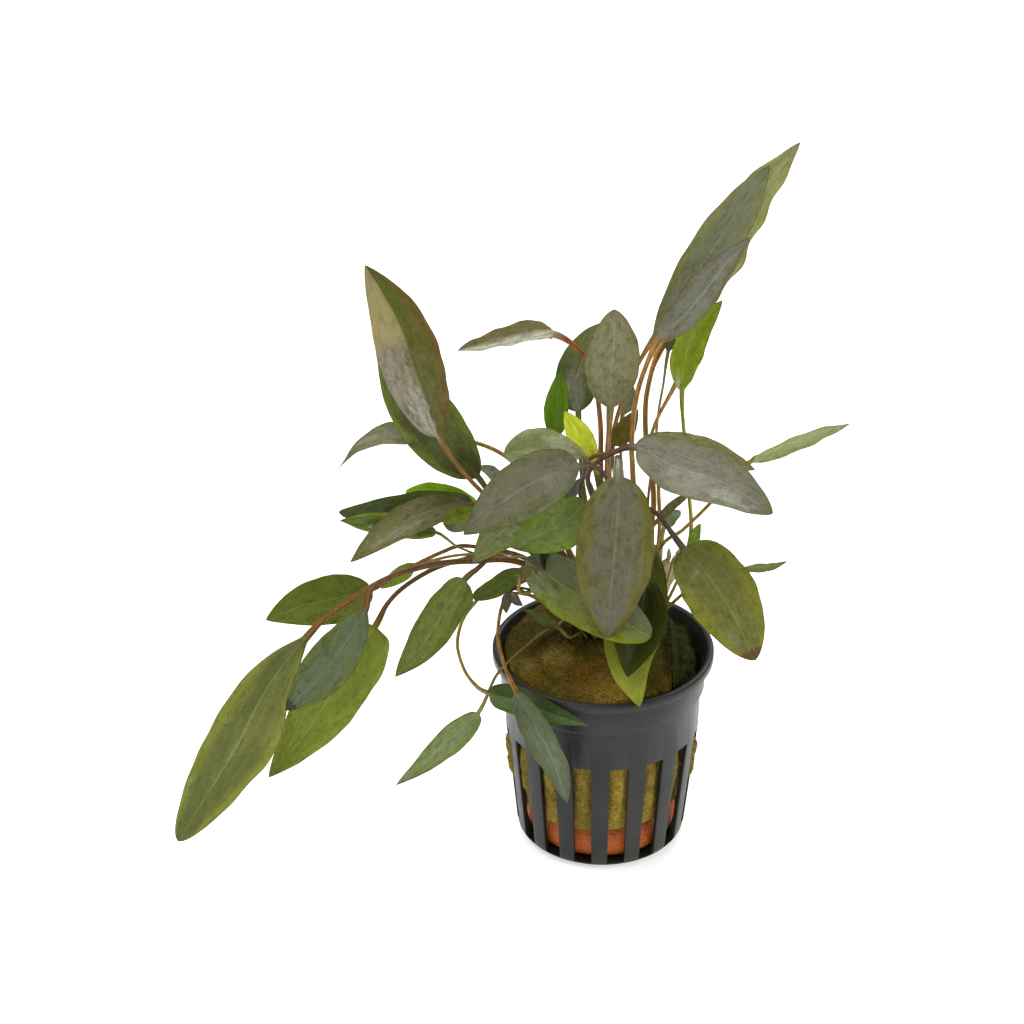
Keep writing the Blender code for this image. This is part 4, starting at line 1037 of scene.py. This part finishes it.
# The upright leaves are soft growths on round petioles from the crown. They stand behind the
# middle, with small new ones among their petioles.
leaf("upright", "mauve", (5.6, 8.2),
     [(1, 7.5, 37), (0.5, 7, 52)],
     [(1, 6, 64), (1, 5, 73), (1.5, 4, 82), (1.5, 4, 91)],
     13, (123, 120, 88), (117, 115, 73), thick=1.25, belly=0.5, heel=0.5, toe=0.6, fade=6,
     stalk=(164, 124, 66), stain=0.7)
leaf("dark_behind", "dark", (1, 12.6),
     [(-4.5, 13, 34), (-6, 14, 50)],
     [(-6.5, 15, 58), (-7, 16, 66), (-4, 18, 74), (0.5, 20, 80)],
     11, (112, 117, 79), (107, 117, 61), heel=0.55, turn=10, stalk=REED, stain=0.4, gloom=0.45,
     shine=(0.2, 0.1, 0.7, 0.6))
leaf("reaching_left", "grey_green", (3, 12.8),
     [(-0.5, 15, 34), (-1, 14, 54), (-3, 12, 70), (-7.5, 11, 77.5)],
     [(-13, 10, 81.5), (-19.5, 9, 81.5), (-27, 8, 80), (-35.5, 7, 78.5)],
     10, (92, 85, 44), (96, 88, 44), thick=1.15, belly=0.32, heel=0.55, toe=0.65, turn=56,
     stalk=(142, 92, 48), other=(164, 164, 142), soft=0.22, gloss=0.5)
leaf("vivid_upright", "vivid", (2.2, 9.6),
     [(-8.5, 9.5, 33), (-11, 9, 45)],
     [(-12, 8.5, 54.5), (-12, 8.5, 61), (-11.5, 8.5, 67), (-11, 9, 72.5)],
     6, (94, 125, 30), (104, 138, 30), thick=0.9, heel=0.6, stalk=REED, stain=0.2, gloss=0.3)
leaf("lime", "lime", (3.6, 7.6),
     [(-1.5, 6, 32), (-1.5, 6, 40)],
     [(-2.5, 5.5, 47.5), (-4.5, 5, 53), (-7.5, 5, 58.5), (-10, 5.5, 63)],
     6, (209, 219, 60), (221, 229, 78), thick=0.9, belly=0.55, heel=0.6, stalk=REED, stain=0.1,
     gloss=0.3)
leaf("olive_small", "olive", (5.2, 13.2),
     [(3.5, 15.5, 33.4), (2.2, 15, 43.4)],
     [(2, 13, 49.5), (4, 13, 52), (6, 13.5, 55.5), (8, 14, 59)],
     5, (104, 92, 34), (112, 98, 36), thick=0.8, stalk=RUSSET)
leaf("pale_small", "grey_green", (7, 15),
     [(5, 19, 33), (4, 20.5, 46.5)],
     [(4.5, 21, 53.5), (5.5, 21.5, 56), (6.5, 22, 58.5), (7, 22.5, 61)],
     3.5, (120, 128, 100), (120, 124, 80), thick=0.7, turn=20)

# The bronze leaf is a broad folded growth on the longest petiole. It stands up at the left,
# with a dark leaf behind it and one whose blade curls over.
leaf("bronze", "bronze", (0.6, 7.8),
     [(-16, -1, 31), (-28, -4, 44), (-35, -5, 53)],
     [(-40, -5, 62), (-45, -3, 76), (-50, 1, 90), (-57, 5, 102)],
     14.6, (84, 90, 32), (100, 83, 38), belly=0.47, heel=0.55, fold=20, stalk=(150, 100, 44),
     other=(136, 130, 112), soft=0.04, tip=(150, 138, 88), worn_from=0.5, stain=0.7,
     shine=(0.12, 0.35, 0.55, 0.6))
leaf("dark_left", "dark", (-2, 11.7),
     [(-16, 8, 27), (-26, 6, 37)],
     [(-31, 5.5, 45), (-40, 8, 54), (-48, 11, 64), (-55, 14, 75)],
     14, (73, 76, 42), (108, 119, 48), heel=0.7, swells=[(-1, 0.45, 0.25, 1.0)], stalk=REED,
     stain=0.7)
leaf("curled", "grey_green", (-1.6, 13.8),
     [(-13, 12, 30), (-22, 10, 46), (-32, 10, 52)],
     [(-43.5, 10, 53), (-52, 9, 54), (-59.5, 7.5, 52), (-65, 5, 47)],
     9, (110, 110, 81), (109, 107, 71), belly=0.3, heel=0.6, toe=1.5, turn=52,
     stalk=(160, 128, 66))

# The shorter leaves are younger growths, some of them thin and vivid. They spread to the left
# from the crown, half way up.
leaf("left_dark", "dark", (-1.8, 9.6),
     [(-17, 5, 27), (-26, 2.5, 36)],
     [(-32.5, 0, 40.5), (-44, -3, 41.5), (-54, -7, 42.5), (-64, -10, 44)],
     10, (70, 81, 43), (82, 96, 36), thick=0.9, heel=0.55, toe=0.6, turn=-30, stalk=REED)
leaf("left_bright_edge", "sage", (-2.6, 7.6),
     [(-16, 1, 23.5), (-28, -2, 26.5), (-35.5, -4, 30.5), (-38.5, -5.5, 34)],
     [(-41, -6, 36), (-48, -9, 39), (-56, -12.5, 42), (-63.5, -16, 45)],
     7, (76, 90, 38), (122, 142, 40), thick=0.55, heel=0.6, turn=30, stalk=(140, 140, 52))
leaf("left_drooping", "grey_green", (0.6, 6),
     [(-16.5, -4, 31), (-26, -6, 42)],
     [(-34, -8.5, 45), (-43, -12, 45), (-52, -16, 42), (-61, -20, 36)],
     8, (107, 105, 65), (97, 97, 52), heel=0.65, turn=10, stalk=BARK, stain=0.6, gloom=0.3)
leaf("left_vivid", "vivid", (0.2, 9.7),
     [(-15, 5.5, 29), (-24, 4, 36)],
     [(-30, 3.5, 36.5), (-36, 3.5, 39.5), (-42, 3.5, 41.5), (-48.5, 3, 42)],
     6, (142, 190, 28), (150, 198, 24), thick=0.8, heel=0.6, toe=0.5, turn=30, stalk=REED,
     stain=0.15, gloss=0.3)
leaf("left_small", "vivid", (1.2, 3.9),
     [(-17, -6.5, 30), (-26, -11.5, 40.7)],
     [(-31, -13.5, 45.5), (-34, -14.5, 45.5), (-36.5, -15.5, 45.5), (-39, -16.5, 44.5)],
     5, (94, 108, 30), (103, 113, 30), thick=0.7, turn=20, stalk=REED, gloss=0.3)

# The largest leaves are old and broad, and the middles of their blades carry a grey veil, a
# painted reflection of the white room. They rise from the front of the crown and cover the
# middle of the plant, bending towards the viewer.
leaf("silver_right", "grey_green", (3.6, 3.6),
     [(-2, -1.5, 38), (-4.5, -2.5, 48.5), (-2.5, -4.5, 54.5), (2, -6.5, 58.5)],
     [(7, -9, 61), (16, -13, 58), (27, -18, 56.5), (38.5, -23, 51)],
     13.2, (119, 118, 102), (113, 112, 88), thick=1.15, heel=0.5, toe=0.65, turn=-10,
     stalk=(92, 66, 48), tip=(112, 104, 74), stain=0.25, shine=(0.72, -0.5, 0.5, 0.5))
leaf("olive_right", "olive", (6.3, 5.4),
     [(-2, 4, 38), (-4.5, 4, 45.5), (-4, 3, 51), (0, 0, 54.5)],
     [(7, -4, 58.5), (15, -5, 58), (25, -7, 57), (35, -10, 55.5)],
     9.4, (112, 114, 76), (118, 120, 72), heel=0.55, turn=-20, stalk=(116, 78, 48))
leaf("mottled_right", "olive", (10, 5.4),
     [(11, -1, 28), (9.5, -4, 40.5), (12.5, -8, 42)],
     [(18.5, -12, 35), (24, -17, 31), (29.5, -23, 24.5), (35.5, -28, 13.5)],
     16.6, (103, 103, 53), (116, 119, 41), thick=1.1, belly=0.44, heel=0.4, toe=0.65,
     stalk=(84, 72, 54), tip=(98, 70, 44), stain=0.75)
leaf("front_big", "mauve", (5.6, 4.1),
     [(1.5, -2, 35.5), (2, -2, 48), (2.5, -6, 56.5)],
     [(2.5, -10, 53.5), (2.5, -15, 48), (1.5, -21, 36), (0, -27, 19)],
     18.6, (99, 97, 78), (98, 95, 44), belly=0.46, heel=0.5, flare=1.5, stalk=(140, 140, 118),
     stain=0.6, rib=0.2)
leaf("front_left", "grey_green", (4.4, 1.6),
     [(1.5, -5, 39), (0, -6, 51), (-3.5, -8, 55.5)],
     [(-7, -11, 57), (-15, -16, 57), (-24, -20.5, 53.5), (-34, -25, 46.5)],
     14, (103, 101, 79), (98, 99, 65), heel=0.6, turn=-10, stalk=(88, 76, 58), stain=0.4, bands=5)
leaf("curved_over", "olive", (4.4, 5.6),
     [(-5.5, 1, 40), (-5, 1, 48)],
     [(-5.5, -0.5, 54), (-11, -4, 57.2), (-17, -8, 59.8), (-24.5, -12, 61)],
     10.5, (138, 145, 93), (161, 167, 112), belly=0.6, heel=0.6, toe=0.5, stalk=(104, 84, 58),
     shine=(0.32, -0.35, 0.6, 0.9))
leaf("behind_middle", "sage", (2.5, 5.4),
     [(-9, -1, 28), (-13, -3, 39)],
     [(-14, -6, 45), (-19.5, -10, 43.5), (-26, -14, 40), (-32, -18, 34.5)],
     10, (115, 120, 81), (108, 121, 49), heel=0.6)
leaf("before_middle", "sage", (2.3, 1.8),
     [(-3, -5.5, 33), (-3, -8, 43)],
     [(-5, -12, 47), (-10.5, -16, 44.5), (-17, -19, 42.5), (-23, -21.5, 41)],
     12, (108, 121, 62), (101, 123, 38), heel=0.6)
leaf("over_plug", "sage", (-1.6, 2.9),
     [(-11, -7, 21), (-16, -9, 28)],
     [(-18.5, -10, 31), (-11, -16.5, 27.9), (-0.5, -22, 23.7), (10.5, -26.5, 19)],
     14, (113, 118, 64), (111, 123, 35), belly=0.45, heel=0.5, toe=0.45, stalk=BARK,
     other=(98, 103, 72), shine=(0.06, -0.6, 0.6, 0.8))
leaf("olive_wisp", "olive", (9.6, 7.8),
     [(11, 8.5, 19.5), (11.5, 9, 28)],
     [(13.5, 9.5, 30.5), (15, 9.5, 32.5), (17, 10, 34.5), (20.5, 10, 37.5)],
     2.2, (112, 104, 60), (108, 100, 54), thick=0.8, heel=0.3, toe=0.3, stalk=(112, 86, 50))
leaf("right_bud", "sage", (10.6, 10.4),
     [(14, 11.5, 14), (14.5, 12, 23)],
     [(15, 12, 27), (16, 12, 28.5), (17, 12, 30), (19, 12, 31.5)],
     3.2, (140, 158, 118), (140, 158, 112), thick=0.7, heel=0.6, toe=0.4, stalk=(140, 150, 90))
leaf("right_sprout", "vivid", (14.8, 10.8),
     [(17.5, 10, 10), (20.5, 12, 17)],
     [(21.5, 13, 21), (22.5, 13, 23), (23, 13, 25), (24, 13, 27.5)],
     2.8, (122, 152, 42), (122, 152, 42), thick=0.7, stalk=(140, 144, 60))

# The low leaves grow on a bundle of long tough petioles, which arches from the crown over the
# rim, and their blades hang down at the left.
leaf("low_outer", "sage", (-3, 5.6),
     [(-18, -4, 25), (-32, -6, 28), (-49, -8, 26), (-65, -11, 17.5)],
     [(-73, -13, 10), (-82, -20, 0.5), (-90.5, -28.5, -13), (-104, -37, -33)],
     15, (94, 100, 54), (122, 127, 54), thick=1.3, belly=0.5, heel=0.7, toe=0.6, wave=0.09,
     swells=[(1, 0.45, 0.15, 1.5)], stalk=(126, 86, 42), stain=0.55, rib=0.5)
leaf("low_yellow", "yellow", (-4.8, 7.6),
     [(-18, 0.5, 22), (-28, 0.5, 25.5), (-35, -3, 26.5), (-41.5, -4.5, 25), (-48.5, -7, 21.5),
      (-53, -9, 17.5)],
     [(-56, -10.5, 12), (-63.5, -16, 2), (-71.5, -22, -9), (-82, -27, -21)],
     17, (114, 126, 48), (130, 141, 53), thick=1.1, belly=0.33, heel=0.45, turn=10,
     stalk=(106, 74, 36), stain=0.6)
leaf("low_blue", "grey_green", (-0.6, 4.6),
     [(-18, -7, 27), (-33, -10.5, 30.5), (-43.5, -13, 30.5), (-53.5, -12.5, 26.5),
      (-57, -15.5, 24.5)],
     [(-58, -18, 21), (-63, -22, 14), (-69, -26, 7.5), (-77, -30, 0.5)],
     11.5, (90, 100, 73), (91, 102, 55), thick=1.1, belly=0.5, heel=0.6, stalk=(116, 80, 40),
     tip=(58, 54, 30))
leaf("low_dark", "dark", (-5.4, 9.8),
     [(-18, 4, 22), (-33, 2.5, 27), (-40, 1.5, 26), (-49.5, 0.5, 21)],
     [(-57, -2, 17.5), (-65, -4.5, 16.5), (-74, -7.5, 16), (-82.5, -10.5, 14)],
     12, (96, 105, 36), (94, 105, 30), thick=0.9, heel=0.55, stalk=(124, 90, 48))
leaf("low_small", "sage", (-6, 12),
     [(-20, 7, 21), (-35, 7, 22)],
     [(-46, 6, 19.5), (-49, 5.5, 18), (-52, 5, 16), (-55, 4, 14)],
     4, (124, 148, 44), (128, 150, 48), thick=0.7, stalk=STRAW, gloss=0.3)
leaf("low_middle", "sage", (0.3, 2),
     [(-10.5, -6.5, 31), (-20.5, -12.5, 37), (-25.5, -15, 36.5), (-30.5, -17.5, 33)],
     [(-34, -19, 30.5), (-38, -22, 25), (-43.5, -26, 17.5), (-50.5, -29, 9.5)],
     9.2, (98, 108, 51), (87, 100, 32), heel=0.45, swells=[(1, 0.12, 0.1, 1.2)], stalk=BARK,
     stain=0.6)
leaf("low_bright", "vivid", (-3.4, 3.2),
     [(-15, -9, 20.5), (-20.5, -15, 24.5)],
     [(-21, -18, 31), (-23, -18.5, 31), (-26.5, -20, 29), (-32, -21.5, 27)],
     4.8, (72, 84, 12), (76, 90, 29), thick=0.8, heel=0.4, toe=0.4, stalk=STRAW, gloss=0.4)

# The last leaves are weak growths that have sunk onto the pot. They hang over its rim, at the
# front and the lower left.
leaf("rim_yellow", "yellow", (10.6, 3),
     [(11.5, 0, 19.5), (10.5, -1.5, 28.5)],
     [(12, -5, 30), (7.5, -13.5, 18.6), (5.7, -22.3, 9.5), (8, -30.5, 1.8)],
     14.6, (146, 154, 58), (150, 158, 60), belly=0.45, fold=28, stalk=STRAW, stain=0.25, gloom=0.7,
     gloss=0.4)
leaf("rim_dark", "dark", (8.4, 2.2),
     [(-1, -9, 12), (-2.2, -17.5, 18.5), (1.2, -20.8, 25)],
     [(8.6, -17, 28.5), (8.5, -18, 20.7), (6.5, -23.4, 14.5), (5, -28.4, 9)],
     13, (60, 65, 30), (64, 70, 30), heel=0.6, fold=28, gloom=0.3, gloss=0.15)
leaf("pot_front", "sage", (-5.4, 4.4),
     [(-16, -9, 24), (-23.5, -13, 23), (-26, -18, 15), (-24.5, -22, 8.7)],
     [(-21.5, -25, 2.4), (-17, -28, -5.2), (-12.5, -28, -15.8), (-9, -26.5, -28.8)],
     9.5, (79, 89, 59), (76, 86, 47), thick=0.8, belly=0.45, heel=0.5, fold=8,
     face=Vector((-0.5, -0.87, 0.1)), stalk=RUSSET, rib=0.5)
leaf("pot_behind", "sage", (-7.2, 6.2),
     [(-24, -6, 21), (-33, -8, 15.5), (-36, -10.5, 8.5), (-34.5, -12.5, 1.5),
      (-31.5, -14.3, -2.6)],
     [(-28, -17, -3.1), (-20.2, -21.1, -2.8), (-12.1, -26.2, -3.3), (-4, -28.6, -4.8)],
     7.5, (85, 106, 61), (74, 96, 39), thick=0.8, belly=0.3, heel=0.55, fold=5,
     face=Vector((-0.5, -0.8, 0.3)), stalk=STRAW, other=(56, 72, 30))
leaf("pot_left", "sage", (-8.3, 9.4),
     [(-11, 4.8, 2.8), (-15, 1, 2.9), (-21.5, -7.5, 2.2), (-24.8, -12, 1.4), (-27, -14, -1)],
     [(-31, -17, -9), (-37.5, -20, -14), (-44, -23, -19.5), (-51, -26, -24)],
     6, (128, 140, 91), (118, 132, 70), thick=0.7, belly=0.36, heel=0.5,
     swells=[(1, 0.3, 0.2, 0.8)], stalk=STRAW)
leaf("on_wool", "olive", (-5.6, 1.8),
     [(-8.5, -7.5, 7)],
     [(-11, -8, 10), (-14, -9, 12.5), (-17, -10.5, 15.5), (-20, -12, 18)],
     3, (92, 96, 44), (96, 100, 44), thick=0.6, stalk=STRAW)

# Torn bits of old leaves and pale cut stalks are left about the crown, still rooted in it, where
# leaves were stripped off by hand.
def scrap(name, slot, root, petiole, blade, width, tone, **looks):
    """A small torn bit of leaf, in one colour, with no solid of its own in the frame."""
    place_piece(grow(name, root, petiole, blade, width, tone, tone, **looks), slot + "_leaf")


scrap("torn_dark_leaf", "dark", (0.2, 1.2),
      [(-10.5, -6, 19.5), (-12, -9, 24.5)],
      [(-12.5, -11, 27.5), (-14, -12, 31), (-15, -12.5, 34), (-16.5, -13, 37.5)],
      4.4, (44, 50, 42), thick=0.7, turn=30, stalk=BARK, gloss=1.0)
scrap("torn_olive_leaf", "olive", (-2.4, 1.4),
      [(-11, -7, 19.5), (-16, -12, 27.5)],
      [(-18, -15, 31), (-19.5, -16, 31), (-21, -17, 30.5), (-23, -18, 28)],
      3.6, (112, 104, 58), thick=0.6, turn=-20, stalk=STRAW)
scrap("torn_grey_leaf", "mauve", (-3.8, 2),
      [(-12, -7, 18), (-20, -13, 24.5)],
      [(-23, -15, 25), (-23.5, -15.5, 24), (-24, -16, 22), (-24, -16.5, 19.5)],
      2.6, (84, 82, 66), thick=0.5, stalk=BARK)
scrap("torn_grey_bit", "mauve", (-4.6, 1.2),
      [(-12.5, -8, 17), (-20.5, -14, 23.5)],
      [(-22.5, -16, 25), (-22, -16.3, 24), (-21.5, -16.6, 23), (-20, -17, 22)],
      2.2, (92, 90, 74), thick=0.4, stalk=STRAW)
scrap("torn_blue_leaf", "grey_green", (0.2, 11),
      [(-3.5, 8, 20), (-8, 8, 31.5)],
      [(-8.5, 8, 37), (-8, 8, 39), (-7, 8, 41), (-5.5, 8, 43.5)],
      3.0, (120, 130, 124), thick=0.5, turn=20, stalk=REED)
scrap("cut_stalk", "yellow", (11.8, 3.4),
      [(14.5, 2, 12), (16, 2.5, 17), (17, 3, 21)],
      [(18, 3, 23.5), (18, 3, 24.5), (18.5, 3, 25.5), (19, 3, 26.5)],
      1.2, (170, 160, 112), thick=1.5, stalk=(184, 172, 126))
scrap("cut_stalk_left", "yellow", (9.8, 1.4),
      [(12.5, -2, 13), (14, -2.5, 18), (14.5, -3, 23)],
      [(15, -3, 26), (15.5, -3, 27), (15.5, -3, 28.5), (15.5, -3, 30)],
      1.2, (160, 150, 100), thick=1.3, stalk=(176, 160, 110))
scrap("torn_mauve_leaf", "mauve", (0.4, 3.2),
      [(-16, -6, 28), (-26, -11, 39.5)],
      [(-32, -11.5, 43), (-34.5, -11.5, 42), (-37, -11.5, 41), (-39, -11.5, 41.5)],
      4.2, (120, 116, 92), thick=0.7, stalk=BARK)
scrap("torn_pale_leaf", "grey_green", (-1.2, 12.6),
      [(-10.5, 9, 19.5), (-20.5, 9, 36.5)],
      [(-25, 9, 41.5), (-27, 9, 43.5), (-29, 9, 45), (-31, 9, 45.5)],
      3.4, (150, 150, 130), thick=0.6, turn=20, stalk=STRAW)

# The studio: a pale floor that runs out of sight and glows faintly, as a light table does, a
# white room, and soft boxes over the plant.
FLOOR_SIZE = 6.0
WHITE = (1.0, 1.0, 1.0, 1.0)


def pale_floor():
    finish = Finish("pale_floor")
    tone = finish.cloud(finish.place(), 3.0, 2, 0.5)
    return finish.set(
        base_color=finish.mix(tone, (0.90, 0.90, 0.90), (0.93, 0.93, 0.93)), roughness=0.6,
        emission_color=WHITE, emission_strength=0.55)


floor_mesh = bmesh.new()
bmesh.ops.create_grid(floor_mesh, x_segments=2, y_segments=2, size=FLOOR_SIZE / 2)
studio_floor = add_piece("studio_floor", floor_mesh, pale_floor())

world = bpy.data.worlds.new("white_room")
bpy.context.scene.world = world
world.use_nodes = True
world.node_tree.nodes["Background"].inputs["Color"].default_value = WHITE
world.node_tree.nodes["Background"].inputs["Strength"].default_value = 0.45


def soft_box(name, place, aim, size, power):
    lamp = bpy.data.lights.new(name, "AREA")
    lamp.shape = "DISK"
    lamp.size = size
    lamp.energy = power
    obj = bpy.data.objects.new(name, lamp)
    obj.location = place
    obj.rotation_euler = (Vector(aim) - Vector(place)).to_track_quat("-Z", "Y").to_euler()
    bpy.context.scene.collection.objects.link(obj)


soft_box("box_above", (-0.30, 0.05, 1.00), (-0.01, 0.0, 0.08), 0.9, 8.0)
soft_box("box_behind", (0.35, 0.75, 0.75), (0.0, 0.0, 0.08), 0.5, 3.0)
soft_box("box_right", (0.8, -0.45, 0.55), (0.0, 0.0, 0.07), 0.5, 2.0)

lens = bpy.data.cameras.new("photo_camera")
lens.sensor_width = 36.0
lens.lens = 116.05
photo_camera = bpy.data.objects.new("photo_camera", lens)
photo_camera.location = (-0.02262, -0.6928, 0.4914)
photo_camera.rotation_euler = (math.radians(60), 0.0, 0.0)
bpy.context.scene.collection.objects.link(photo_camera)
bpy.context.scene.camera = photo_camera
bpy.context.scene.view_settings.view_transform = "Standard"
